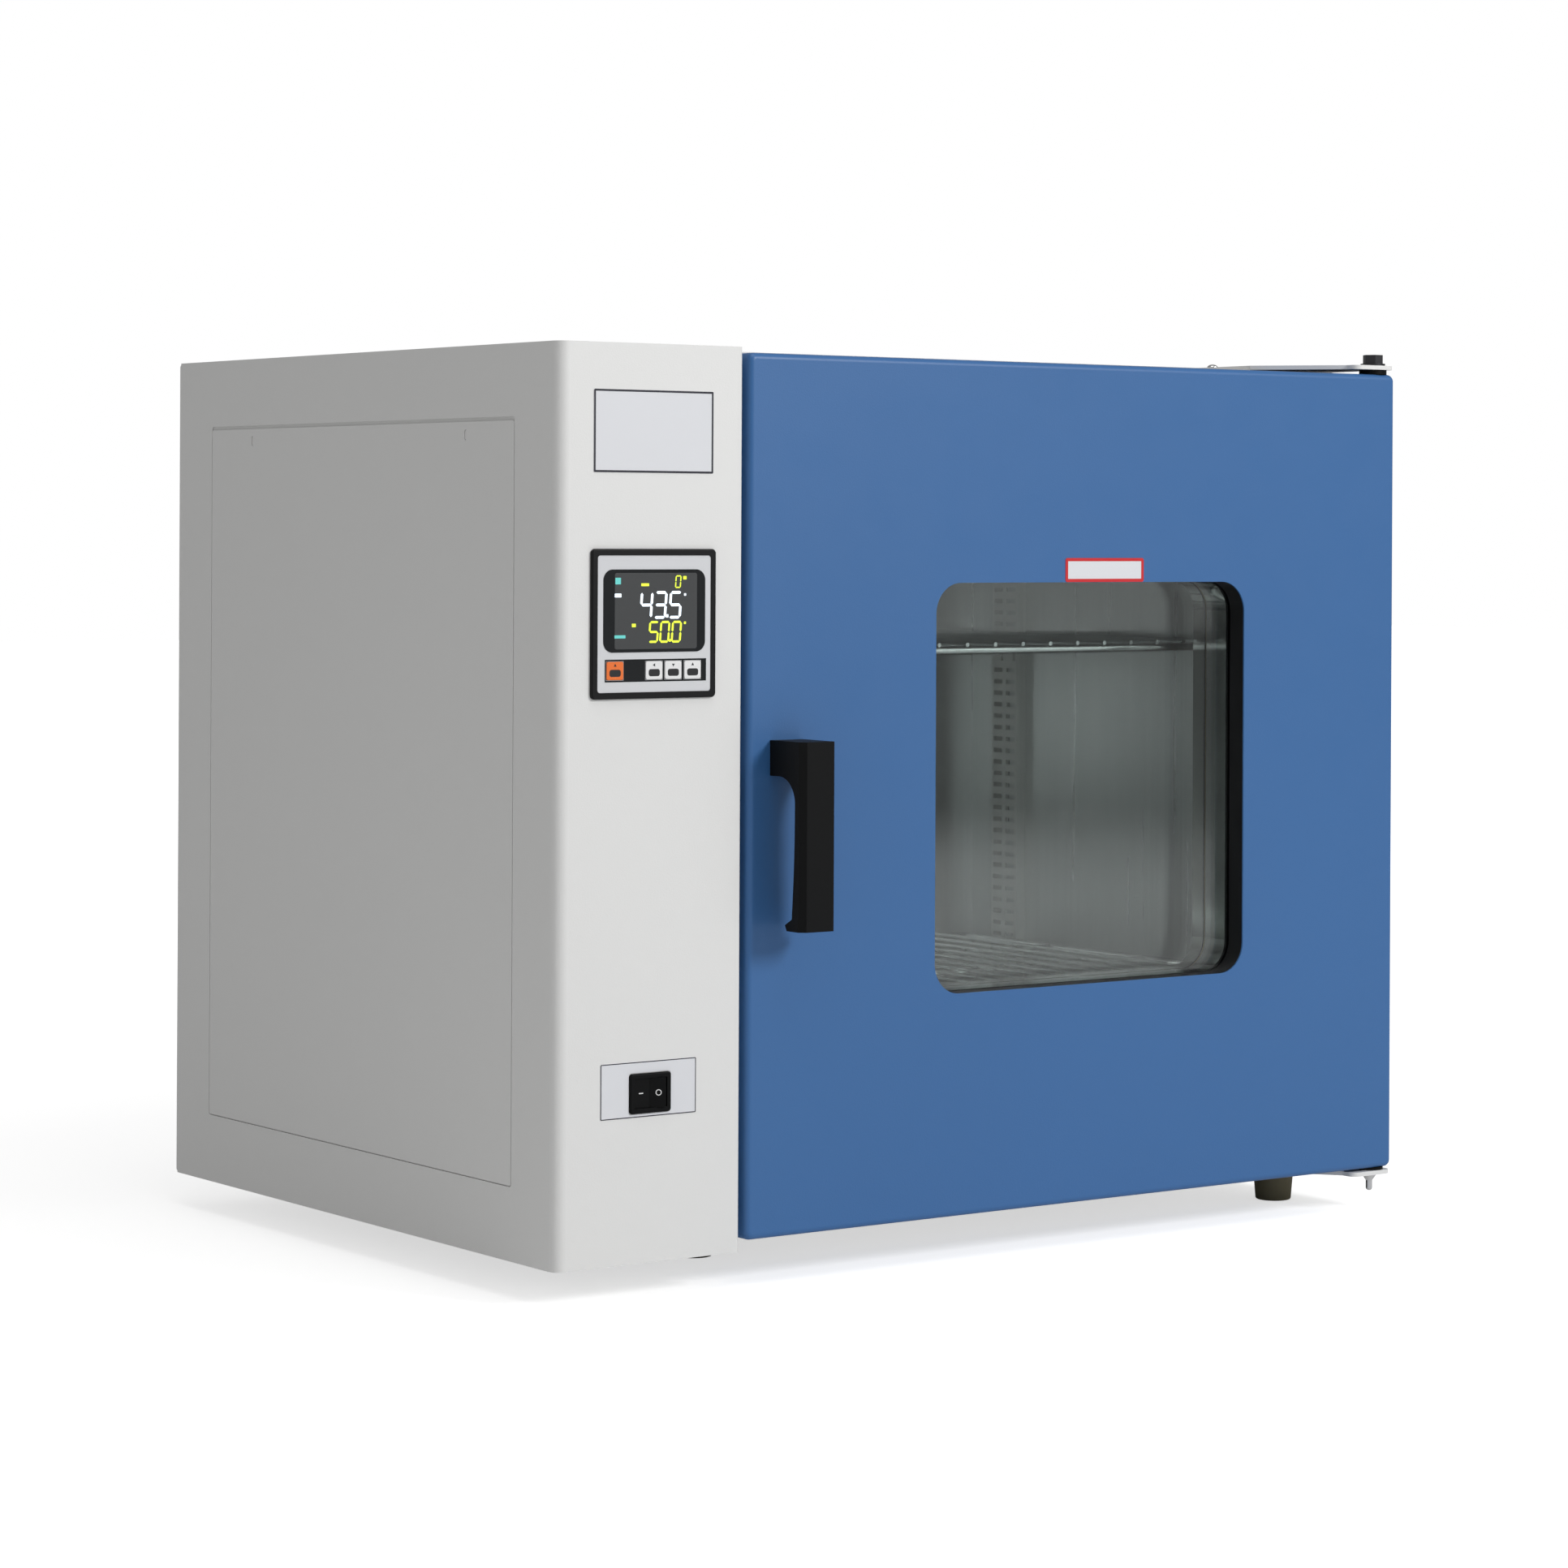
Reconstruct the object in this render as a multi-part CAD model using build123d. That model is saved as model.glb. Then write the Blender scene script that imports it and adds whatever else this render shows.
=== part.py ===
from build123d import *
from math import cos, radians, sin
import os

os.makedirs("parts", exist_ok=True)

# Forced-air drying oven: an insulated steel chamber with a hinged window door, and a narrow column on its
# left that holds the controls, the fan motor and the wiring.
# Lengths are in millimetres and angles in degrees. +X is to the right as one faces the door, +Y to the
# rear and +Z up. The origin is the middle of the footprint, on the surface that the feet stand on.

# Cabinet
cabinet_width = 728.0
cabinet_depth = 510.0
cabinet_height = 590.0
case_sheet = 1.5
case_bend = 8.0
case_flange = 15.0
column_width = 143.0
column_edge_bend = 3.0

# Fits between pieces
running_fit = 0.05
seat_gap = 0.1
hole_clearance = 0.2
moving_gap = 0.3
cut_over = 1.0

# Feet, measured in from the cabinet's outer faces to each foot's centre
foot_height = 24.0
foot_top_diameter = 30.0
foot_bottom_diameter = 26.0
foot_edge = 1.5
foot_well_gap = 1.0
foot_from_right = 42.5
foot_from_left = 190.0
foot_from_front = 81.0
left_foot_setback = 40.0
foot_from_back = 60.0

# Door
door_gap_left = 5.0
door_gap_top = 3.5
door_gap_bottom = 6.5
door_thickness = 58.0
door_seal_gap = 8.0
door_skin = 1.2
door_edge_radius = 5.0
door_face_radius = 4.0
inner_panel_sheet = 1.0
inner_panel_flange = 12.0
wool_gap = 1.5

# Window in the door
window_size = 278.0
window_corner = 21.0
window_shift = 4.0
window_recess = 15.0
glass_thickness = 4.0
glass_lap = 4.0
rubber_wall = 8.0
rubber_lip = 2.0
inner_glass_depth = 42.0
tunnel_sheet = 1.0

# Door seal and catch
seal_width = 12.0
seal_margin = 8.0
seal_corner = 24.0
seal_edge = 3.0
catch_height = 48.0
catch_width = 14.0
catch_corner = 2.0
catch_groove_width = 2.0
catch_groove_length = 38.0
catch_groove_depth = 1.0
catch_plate_inset = 0.5
catch_plate_thickness = 1.5
catch_above_bottom = 271.0

# Handle
handle_reach = 36.0
handle_width = 26.6
handle_height = 123.6
handle_from_door_edge = 17.5
handle_above_bottom = 209.4
handle_root_height = 23.2
grip_thickness = 8.0
grip_toe_thickness = 11.0
grip_toe_rise = 8.0
grip_hollow = 0.8
grip_hollow_at = 0.45
lip_depth = 18.5
lip_rise = 3.8
lip_bevel = 2.0
handle_corner = 17.0
handle_corner_bulge = 0.3
handle_edge = 1.5
handle_bevel = 4.0

# Hinge
pin_diameter = 8.0
pin_from_side = 12.0
pin_from_front = 11.0
pin_depth_in_door = 16.0
hinge_plate = 3.0
hinge_plate_width = 38.0
hinge_plate_spread = 65.0
hinge_plate_reach = 62.0
hinge_plate_edge = 6.0
hinge_leg_height = 34.0
leg_screw_rise = 22.0
top_plate_screw_rows = (18.5, 46.5)
bolt_flange_diameter = 17.9
bolt_flange = 1.6
bolt_head_across = 13.0
bolt_head = 6.4
collar_diameter = 10.5
collar_height = 1.4
collar_taper = 4.0
tail_diameter = 4.8
tail_drop = 12.8
tail_round = 2.0
bush_diameter = 14.0
bush_flange_diameter = 20.0
bush_length = 18.0

# Chamber, placed by the thickness of the lagged walls about it, from sheet to chamber
chamber_floor = 70.0
ceiling_lagging = 70.0
side_lagging = 65.0
duct_lagging = 35.0
back_lagging = 92.5
liner_sheet = 1.0
liner_corner = 12.0
duct_depth = 35.0

# Slotted panel between the air duct and the chamber
slot_length = 18.0
slot_width = 4.0
slot_pitch_along = 32.0
slot_pitch_up = 30.0
slot_margin = 34.0
inlet_hole = 9.0
inlet_hole_pitch = 14.0
inlet_rings = 3

# Fan, driven through the wall by a motor in the column
fan_diameter = 150.0
fan_eye_diameter = 108.0
fan_width = 22.0
fan_sheet = 1.2
fan_blades = 12
fan_blade_sweep = 26.0
fan_blade_bow = 10.0
fan_blade_lap = 2.0
fan_tip_gap = 1.0
fan_hub_diameter = 22.0
fan_wall_gap = 6.0
shaft_diameter = 8.0
shaft_bevel = 0.8
shaft_passage = 14.0
motor_diameter = 84.0
motor_length = 54.0
motor_flange_diameter = 104.0
motor_flange = 4.0
motor_cap_diameter = 48.0
motor_cap = 8.0
motor_edge = 5.0

# Tubular heaters in the duct
heater_diameter = 8.0
heater_bend = 14.0
heater_rows = (105.0, -105.0)
heater_spread = 40.0
heater_from_front = 60.0
heater_from_back = 70.0
heater_tail = 18.0

# Temperature probe
probe_diameter = 4.0
probe_tip_round = 1.6
probe_reach = 60.0
probe_collar_diameter = 12.0
probe_collar = 6.0
probe_from_front = 150.0
probe_above_fan = 150.0

# Shelf posts, clips and wire shelves
post_width = 31.0
post_depth = 9.0
post_sheet = 1.0
post_end_gap = 13.0
post_from_front = 53.0
post_from_back = 52.0
post_slot_width = 11.0
post_slot_height = 3.4
post_slot_spread = 15.2
post_slot_pitch = 9.1
clip_sheet = 1.2
clip_width = 9.0
clip_ledge = 13.0
clip_leg = 8.0
clip_nib = 1.8
shelf_heights = (77.0, 317.0)
shelf_rod = 6.0
shelf_wire = 3.0
shelf_wire_pitch = 25.0
shelf_side_gap = 3.0
shelf_from_front = 8.0
shelf_from_back = 6.0
shelf_corner = 12.0
shelf_stiffeners = 2
shelf_stiffener = 5.0
wire_end_inset = 1.0
weld_sink = 0.5

# Controller in the column front
controller_size = 96.0
controller_from_left = 72.25
controller_above_bottom = 410.2
controller_bezel_reach = 2.5
controller_bezel_wall = 4.2
controller_bezel_edge = 1.0
controller_corner = 3.0
controller_cutout = 92.0
controller_case_size = 91.0
controller_case_depth = 90.0
controller_groove_length = 73.0
controller_face_recess = 0.4
controller_face_sheet = 1.2
display_width = 78.7
display_height = 53.0
display_above_centre = 8.3
display_corner = 7.0
display_proud = 0.3
key_width = 12.8
key_height = 11.6
key_row_below_centre = 29.9
key_offsets = (-30.4, -0.3, 14.5, 29.6)
key_names = ("set_key", "shift_key", "down_key", "up_key")
key_proud = 0.5
key_clearance = 0.15
key_rim = 0.5
key_rim_sheet = 0.9
key_corner = 1.4
key_pocket_width = 78.0
key_pocket_height = 16.0
key_pocket_depth = 3.0

# Rocker switch in the column front
switch_from_left = 71.5
switch_above_bottom = 109.2
switch_width = 31.6
switch_height = 25.7
switch_bezel = 2.0
switch_corner = 2.0
switch_body_width = 28.0
switch_body_height = 22.0
switch_body_depth = 24.0
rocker_radius = 12.4
rocker_height = 19.0
rocker_clearance = 0.12
rocker_waist = 3.6
rocker_rise = 6.0
rocker_root = 5.0
rocker_root_half = 8.0
rocker_tilt = 10.0
rocker_pivot_depth = 3.0
rocker_pin = 3.0
switch_tab_width = 6.3
switch_tab_sheet = 0.8
switch_tab_length = 8.0

# Access panel in the left side
access_from_front = 53.0
access_from_back = 50.0
access_above_bottom = 48.5
access_from_top = 49.6
access_gap = 0.8
access_top_gap = 2.5
access_corner = 2.0
access_lip = 12.0
access_lip_overlap = 8.0
access_slot_height = 7.0
access_slot_width = 3.2
access_slot_from_top = 8.5
access_slot_inset = 59.5
tongue_gap = 0.4

# Vent with a turning damper, in the top
vent_from_chamber_back = 57.5
vent_pipe_diameter = 50.0
vent_pipe_wall = 1.2
vent_flange_diameter = 90.0
vent_flange = 1.5
vent_ports = 4
vent_port_diameter = 11.0
vent_port_circle = 30.0
damper_diameter = 78.0
damper_sheet = 1.5
damper_knob_diameter = 20.0
damper_knob = 6.5
damper_pin = 5.0
damper_pin_recess = 1.0
damper_grooves = 12
damper_groove = 1.0

# Mains inlet in the back
inlet_reach = 4.0
inlet_flange_width = 31.0
inlet_flange_height = 24.0
inlet_body_width = 27.0
inlet_body_height = 19.8
inlet_body_depth = 22.0
inlet_mouth_width = 24.2
inlet_mouth_height = 16.5
inlet_mouth_depth = 17.0
inlet_mouth_corner = 4.0
inlet_corner = 2.0
inlet_edge = 1.0
inlet_pin_width = 4.0
inlet_pin_sheet = 2.0
inlet_pin_pitch = 7.0
inlet_pin_length = 15.0
inlet_pin_offset = 2.0
inlet_from_left = 70.0
inlet_above_bottom = 90.0

# Cooling slots in the back of the column
louvre_count = 7
louvre_length = 80.0
louvre_width = 4.0
louvre_pitch = 14.0
louvre_above_bottom = 420.0

# Wiring pieces on the column's inner wall
terminal_length = 72.0
terminal_height = 22.0
terminal_depth = 18.0
terminal_ways = 6
terminal_well_diameter = 7.0
terminal_well_depth = 8.0
terminal_edge = 2.0
terminal_from_back = 60.0
relay_width = 44.0
relay_height = 58.0
relay_depth = 27.0
sink_base = 5.0
sink_fins = 9
sink_fin = 1.6
sink_fin_depth = 20.0
limiter_diameter = 16.0
limiter_depth = 11.0
limiter_strap_length = 34.0
limiter_strap_height = 14.0
limiter_strap = 1.5

# Screws
screw_diameter = 4.0
screw_head_diameter = 8.0
screw_head = 2.4
screw_head_round = 1.4
screw_head_gap = 1.0
screw_length = 8.0
handle_screw_grip = 7.0
back_screw_rows = 4
back_screw_margin = 45.0

# Faces of the cabinet
left = -cabinet_width / 2
right = cabinet_width / 2
front = (handle_reach - cabinet_depth - inlet_reach) / 2
back = front + cabinet_depth
bottom = foot_height
top = bottom + cabinet_height
column_right = left + column_width
frame_front = front + door_thickness + door_seal_gap
frame_back = frame_front + case_sheet
shell_back = back - case_sheet

# Faces of the chamber and of the duct on its left
chamber_width = cabinet_width - column_width - duct_lagging - duct_depth - side_lagging
chamber_depth = cabinet_depth - door_thickness - door_seal_gap - case_sheet - back_lagging
chamber_height = cabinet_height - chamber_floor - ceiling_lagging
chamber_right = right - side_lagging
chamber_left = chamber_right - chamber_width
chamber_front = frame_back
chamber_back = chamber_front + chamber_depth
chamber_bottom = bottom + chamber_floor
chamber_top = chamber_bottom + chamber_height
chamber_x = (chamber_left + chamber_right) / 2
chamber_z = (chamber_bottom + chamber_top) / 2
duct_left = chamber_left - duct_depth
panel_left = chamber_left - liner_sheet
post_height = chamber_height - 2 * post_end_gap
heater_reach = chamber_depth - heater_from_front - heater_from_back

# Size of the access panel
access_width = cabinet_depth - access_from_front - access_from_back
access_height = cabinet_height - access_above_bottom - access_from_top

# Faces of the door
door_left = column_right + door_gap_left
door_right = right
door_bottom = bottom + door_gap_bottom
door_top = top - door_gap_top
door_back = front + door_thickness
door_x = (door_left + door_right) / 2
door_z = (door_bottom + door_top) / 2
window_x = door_x + window_shift

# Axes
hinge_x = right - pin_from_side
hinge_y = front + pin_from_front
fan_y = (chamber_front + chamber_back) / 2
fan_z = chamber_z
vent_y = chamber_back - vent_from_chamber_back
controller_x = left + controller_from_left
controller_z = bottom + controller_above_bottom
switch_x = left + switch_from_left
switch_z = bottom + switch_above_bottom
inlet_x = left + inlet_from_left
inlet_z = bottom + inlet_above_bottom
wall_face = column_right - case_sheet
probe_y = chamber_front + probe_from_front
probe_z = fan_z + probe_above_fan


def block(x0, x1, y0, y1, z0, z1):
    # a box between six faces
    return Pos((x0 + x1) / 2, (y0 + y1) / 2, (z0 + z1) / 2) * Box(x1 - x0, y1 - y0, z1 - z0)


def front_slab(sketch, y0, y1):
    # an outline drawn in x and z, given thickness from y0 back to y1
    return extrude(Plane((0, y0, 0), (1, 0, 0), (0, -1, 0)) * sketch, -(y1 - y0))


def side_slab(sketch, x0, x1):
    # an outline drawn in y and z, given thickness from x0 to x1
    return extrude(Plane((x0, 0, 0), (0, 1, 0), (1, 0, 0)) * sketch, x1 - x0)


def plan_slab(sketch, z0, z1):
    # an outline drawn in x and y, given thickness from z0 up to z1
    return extrude(Plane((0, 0, z0)) * sketch, z1 - z0)


def rod_x(diameter, x0, x1, y, z):
    return side_slab(Pos(y, z) * Circle(diameter / 2), x0, x1)


def rod_y(diameter, y0, y1, x, z):
    return front_slab(Pos(x, z) * Circle(diameter / 2), y0, y1)


def rod_z(diameter, z0, z1, x, y):
    return plan_slab(Pos(x, y) * Circle(diameter / 2), z0, z1)


def group(pieces):
    # separate solids that share one node
    return Compound(children=[solid for piece in pieces for solid in piece.solids()])


def spread(count, pitch, middle=0.0):
    # evenly spaced places about a middle
    return [middle + (i - (count - 1) / 2) * pitch for i in range(count)]


def between(count, low, high):
    # evenly spaced places from low to high
    return [low + (high - low) * i / (count - 1) for i in range(count)]


# Places of the screws that hold the cabinet together

foot_places = {
    "foot_front_left": (left + foot_from_left, front + foot_from_front + left_foot_setback),
    "foot_front_right": (right - foot_from_right, front + foot_from_front),
    "foot_back_left": (left + foot_from_left, back - foot_from_back),
    "foot_back_right": (right - foot_from_right, back - foot_from_back),
}
back_screw_places = [
    (x, z)
    for x in (left + case_flange / 2, right - case_flange / 2)
    for z in between(back_screw_rows, bottom + back_screw_margin, top - back_screw_margin)
]
top_plate_screws = [
    (hinge_x - hinge_plate_spread, frame_back + top_plate_screw_rows[1]),
    (hinge_x - hinge_plate_edge, frame_back + top_plate_screw_rows[1]),
    (hinge_x - hinge_plate_edge, frame_back + top_plate_screw_rows[0]),
]
leg_screws = [
    (x, bottom + leg_screw_rise)
    for x in spread(2, hinge_plate_spread, hinge_x - hinge_plate_spread / 2)
]


def screw_hole_y(x, z, y0, y1):
    return rod_y(screw_diameter, y0, y1, x, z)


def left_side_and_column():
    # one sheet: the left side, a round bend, the column's front and a short return beside the door
    outer = Pos((left + column_right) / 2, (front + shell_back) / 2) * Rectangle(
        column_width, shell_back - front
    )
    inner = Pos((left + column_right) / 2, (front + shell_back) / 2 + case_sheet) * Rectangle(
        column_width - 2 * case_sheet, shell_back - front
    )
    corners = outer.vertices().group_by(Axis.Y)[0].sort_by(Axis.X)
    outer = fillet(corners[0], case_bend)
    corners = outer.vertices().group_by(Axis.Y)[0].sort_by(Axis.X)
    outer = fillet(corners[-1], column_edge_bend)
    corners = inner.vertices().group_by(Axis.Y)[0].sort_by(Axis.X)
    inner = fillet(corners[0], case_bend - case_sheet)
    corners = inner.vertices().group_by(Axis.Y)[0].sort_by(Axis.X)
    inner = fillet(corners[-1], column_edge_bend - case_sheet)
    sheet = plan_slab(outer - inner, bottom, top)
    sheet -= block(
        left + case_flange, column_right + cut_over, frame_back, shell_back + cut_over, bottom - cut_over,
        top + cut_over,
    )
    sheet += block(
        left, left + case_flange, shell_back - case_sheet, shell_back, bottom + case_flange, top - case_flange
    )
    # opening for the access panel, with a lip behind its edges and two tongues that carry the panel
    y0 = front + access_from_front - access_gap
    y1 = front + access_from_front + access_width + access_gap
    z0 = bottom + access_above_bottom - access_gap
    z1 = bottom + access_above_bottom + access_height + access_top_gap
    opening = Pos((y0 + y1) / 2, (z0 + z1) / 2) * RectangleRounded(y1 - y0, z1 - z0, access_corner)
    wide = Pos((y0 + y1) / 2, (z0 + z1) / 2) * Rectangle(
        y1 - y0 + 2 * access_lip_overlap, z1 - z0 + 2 * access_lip_overlap
    )
    hole = Pos((y0 + y1) / 2, (z0 + z1) / 2) * RectangleRounded(
        y1 - y0 - 2 * access_lip, z1 - z0 - 2 * access_lip, access_corner
    )
    sheet -= side_slab(opening, left - cut_over, left + case_sheet)
    sheet += side_slab(wide - hole, left + case_sheet, left + 2 * case_sheet)
    for y, z in access_slot_places():
        tongue = Pos(y, z) * SlotOverall(
            access_slot_height - 2 * tongue_gap, access_slot_width - 2 * tongue_gap, rotation=90
        )
        sheet += side_slab(tongue, left + tongue_gap, left + case_sheet)
    # cut-outs in the column's front for the controller and the switch
    sheet -= front_slab(
        Pos(controller_x, controller_z) * Rectangle(controller_cutout, controller_cutout),
        front - cut_over,
        front + case_sheet,
    )
    sheet -= front_slab(
        Pos(switch_x, switch_z)
        * Rectangle(switch_body_width + 2 * hole_clearance, switch_body_height + 2 * hole_clearance),
        front - cut_over,
        front + case_sheet,
    )
    for x, z in back_screw_places:
        sheet -= screw_hole_y(x, z, shell_back - case_sheet, shell_back)
    return sheet


def access_slot_places():
    z = bottom + access_above_bottom + access_height - access_slot_from_top
    y0 = front + access_from_front
    return [(y0 + access_slot_inset, z), (y0 + access_width - access_slot_inset, z)]


def access_panel():
    y = front + access_from_front + access_width / 2
    z = bottom + access_above_bottom + access_height / 2
    panel = side_slab(
        Pos(y, z) * RectangleRounded(access_width, access_height, access_corner), left, left + case_sheet
    )
    for slot_y, slot_z in access_slot_places():
        slot = Pos(slot_y, slot_z) * SlotOverall(access_slot_height, access_slot_width, rotation=90)
        panel -= side_slab(slot, left, left + case_sheet)
    return panel


def tray_outline():
    # plan of the cabinet inside its side sheets: the column reaches further forward than the chamber
    points = [
        (left + case_sheet, front + case_sheet),
        (column_right - case_sheet, front + case_sheet),
        (column_right - case_sheet, frame_back),
        (right - case_sheet, frame_back),
        (right - case_sheet, shell_back),
        (left + case_sheet, shell_back),
    ]
    outline = make_face(Polyline(points, close=True))
    corners = outline.vertices().group_by(Axis.Y)[0].sort_by(Axis.X)
    outline = fillet(corners[0], case_bend - case_sheet)
    corners = outline.vertices().group_by(Axis.Y)[0].sort_by(Axis.X)
    return fillet(corners[-1], column_edge_bend)


def tray(z_sheet, z_flange):
    # a flat sheet with an upright flange along its whole edge
    outline = tray_outline()
    rim = outline - offset(outline, -case_sheet, kind=Kind.INTERSECTION)
    z0, z1 = z_sheet
    return plan_slab(outline, z0, z1) + plan_slab(rim, *z_flange)


def top_panel():
    panel = tray((top - case_sheet, top), (top - case_flange, top))
    panel -= rod_z(vent_pipe_diameter + 2 * hole_clearance, top - case_sheet, top, chamber_x, vent_y)
    for x, y in top_plate_screws:
        panel -= rod_z(screw_diameter, top - case_sheet, top, x, y)
    return panel


def bottom_pan():
    pan = tray((bottom, bottom + case_sheet), (bottom, bottom + case_flange))
    for x, y in foot_places.values():
        pan -= rod_z(screw_diameter, bottom, bottom + case_sheet, x, y)
    return pan


def right_side_panel():
    panel = block(right - case_sheet, right, frame_front, shell_back, bottom, top)
    panel += block(
        right - case_flange, right, shell_back - case_sheet, shell_back, bottom + case_flange,
        top - case_flange,
    )
    for x, z in back_screw_places:
        panel -= screw_hole_y(x, z, shell_back - case_sheet, shell_back)
    return panel


def back_panel():
    panel = block(left, right, shell_back, back, bottom, top)
    panel = fillet(panel.edges().filter_by(Axis.Y), column_edge_bend)
    for z in spread(louvre_count, louvre_pitch, bottom + louvre_above_bottom):
        slot = Pos((left + column_right) / 2, z) * SlotOverall(louvre_length, louvre_width)
        panel -= front_slab(slot, shell_back, back)
    body = Rectangle(inlet_body_width + 2 * hole_clearance, inlet_body_height + 2 * hole_clearance)
    panel -= front_slab(Pos(inlet_x, inlet_z) * body, shell_back, back)
    for x, z in back_screw_places:
        panel -= screw_hole_y(x, z, shell_back, back)
    return panel


def compartment_wall():
    # parts the column from the lagged box; the fan shaft, heaters and probe pass through it
    wall = block(
        wall_face, column_right, frame_back + case_sheet, shell_back - case_sheet, bottom + case_sheet,
        top - case_sheet,
    )
    wall -= rod_x(shaft_passage, wall_face, column_right, fan_y, fan_z)
    for y, z in heater_holes():
        wall -= rod_x(heater_diameter + 2 * hole_clearance, wall_face, column_right, y, z)
    return wall - rod_x(probe_diameter + 2 * hole_clearance, wall_face, column_right, probe_y, probe_z)


def front_frame():
    # the steel face that the door closes on
    x = (column_right + right - case_sheet) / 2
    outline = Pos(x, (bottom + top) / 2) * Rectangle(right - case_sheet - column_right, cabinet_height)
    mouth = Pos(chamber_x, chamber_z) * RectangleRounded(chamber_width, chamber_height, liner_corner)
    frame = front_slab(outline - mouth, frame_front, frame_back)
    for x, z in leg_screws:
        frame -= screw_hole_y(x, z, frame_front, frame_back)
    return frame


def liner_block(grow):
    # the chamber and its duct as a solid, grown on every side but the front
    shape = block(
        duct_left - grow, chamber_right + grow, chamber_front, chamber_back + grow, chamber_bottom - grow,
        chamber_top + grow,
    )
    return fillet(shape.edges().filter_by(Axis.Y), liner_corner + grow)


def wall_passages(diameter_gap):
    # what passes through the left wall of the liner and its lagging
    x0 = column_right
    x1 = duct_left
    cuts = rod_x(shaft_passage + diameter_gap, x0, x1, fan_y, fan_z)
    for y, z in heater_holes():
        cuts += rod_x(heater_diameter + 2 * hole_clearance + diameter_gap, x0, x1, y, z)
    return cuts + rod_x(probe_diameter + 2 * hole_clearance + diameter_gap, x0, x1, probe_y, probe_z)


def chamber_liner():
    # sheets welded edge to edge: four flat walls, the four bends between them and the back
    shell = liner_block(liner_sheet) - liner_block(0)
    shell -= wall_passages(0)
    shell -= rod_z(
        vent_pipe_diameter + 2 * hole_clearance, chamber_top, chamber_top + liner_sheet, chamber_x, vent_y
    )
    x0 = duct_left - liner_sheet
    x1 = duct_left + liner_corner
    x2 = chamber_right - liner_corner
    x3 = chamber_right + liner_sheet
    z0 = chamber_bottom - liner_sheet
    z1 = chamber_bottom + liner_corner
    z2 = chamber_top - liner_corner
    z3 = chamber_top + liner_sheet
    sheets = [
        block(low, high, chamber_front, chamber_back, floor, roof)
        for low, high, floor, roof in (
            (x1, x2, z0, z1), (x1, x2, z2, z3), (x0, x1, z1, z2), (x2, x3, z1, z2),
            (x0, x1, z0, z1), (x2, x3, z0, z1), (x0, x1, z2, z3), (x2, x3, z2, z3),
        )
    ]
    sheets.append(block(x0, x3, chamber_back, chamber_back + liner_sheet, z0, z3))
    return group([shell & sheet for sheet in sheets])


def screw_wells():
    # room in the wool for the ends of the screws
    width = screw_diameter + 2 * hole_clearance
    reach = screw_length - hinge_plate + hole_clearance
    wells = Part()
    for x, z in back_screw_places:
        wells += rod_y(width, back - screw_length - hole_clearance, shell_back, x, z)
    for x, z in leg_screws:
        wells += rod_y(width, frame_back, frame_front + reach, x, z)
    for x, y in top_plate_screws:
        wells += rod_z(width, top - reach, top - case_sheet, x, y)
    return wells


def lagging():
    # mineral wool between the liner and the cabinet
    wool = block(
        column_right, right - 2 * case_sheet, frame_back + case_sheet, shell_back - case_sheet,
        bottom + case_sheet, top - case_sheet,
    )
    wool -= liner_block(liner_sheet)
    wool -= wall_passages(2 * hole_clearance)
    wool -= screw_wells()
    return wool - rod_z(
        vent_pipe_diameter + 4 * hole_clearance, chamber_top + liner_sheet, top - case_sheet, chamber_x,
        vent_y,
    )


def duct_panel():
    # air leaves the duct through rows of slots, and comes back through the holes in front of the fan
    sheet = block(panel_left, chamber_left, chamber_front, chamber_back, chamber_bottom, chamber_top)
    eye = fan_diameter / 2 + slot_width
    columns = int((chamber_depth - 2 * slot_margin) // slot_pitch_along) + 1
    rows = int((chamber_height - 2 * slot_margin) // slot_pitch_up) + 1
    cuts = Sketch()
    for y in spread(columns, slot_pitch_along, (chamber_front + chamber_back) / 2):
        for z in spread(rows, slot_pitch_up, chamber_z):
            near_fan = (y - fan_y) ** 2 + (z - fan_z) ** 2 < eye ** 2
            on_post = any(abs(y - place) < (post_width + slot_length) / 2 for place in post_places())
            near_probe = (y - probe_y) ** 2 + (z - probe_z) ** 2 < slot_length ** 2
            if not (near_fan or on_post or near_probe):
                cuts += Pos(y, z) * SlotOverall(slot_length, slot_width)
    cuts += Pos(fan_y, fan_z) * Circle(inlet_hole / 2)
    for ring in range(1, inlet_rings + 1):
        places = Pos(fan_y, fan_z) * PolarLocations(ring * inlet_hole_pitch, 6 * ring)
        cuts += places * Circle(inlet_hole / 2)
    cuts += Pos(probe_y, probe_z) * Circle(probe_diameter / 2 + hole_clearance)
    return sheet - side_slab(cuts, panel_left, chamber_left)


def fan_motor():
    # a round motor whose flange is screwed to the column's inner wall
    profile = make_face(
        Polyline(
            [
                (0, 0),
                (0, motor_flange_diameter / 2),
                (-motor_flange, motor_flange_diameter / 2),
                (-motor_flange, motor_diameter / 2),
                (-motor_length, motor_diameter / 2),
                (-motor_length, motor_cap_diameter / 2),
                (-motor_length - motor_cap, motor_cap_diameter / 2),
                (-motor_length - motor_cap, 0),
            ],
            close=True,
        )
    )
    rounded = profile.vertices().group_by(Axis.X)[1].sort_by(Axis.Y)[-1]
    profile = fillet(rounded, motor_edge)
    motor = Pos(wall_face, fan_y, fan_z) * revolve(profile, Axis.X)
    bore = shaft_diameter + 2 * running_fit
    return motor - rod_x(bore, wall_face - motor_length, wall_face, fan_y, fan_z)


def fan_shaft():
    end = duct_left + fan_wall_gap + fan_width
    shaft = rod_x(shaft_diameter, wall_face - motor_length + seat_gap, end, fan_y, fan_z)
    return chamfer(shaft.edges().filter_by(GeomType.CIRCLE), shaft_bevel)


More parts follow.
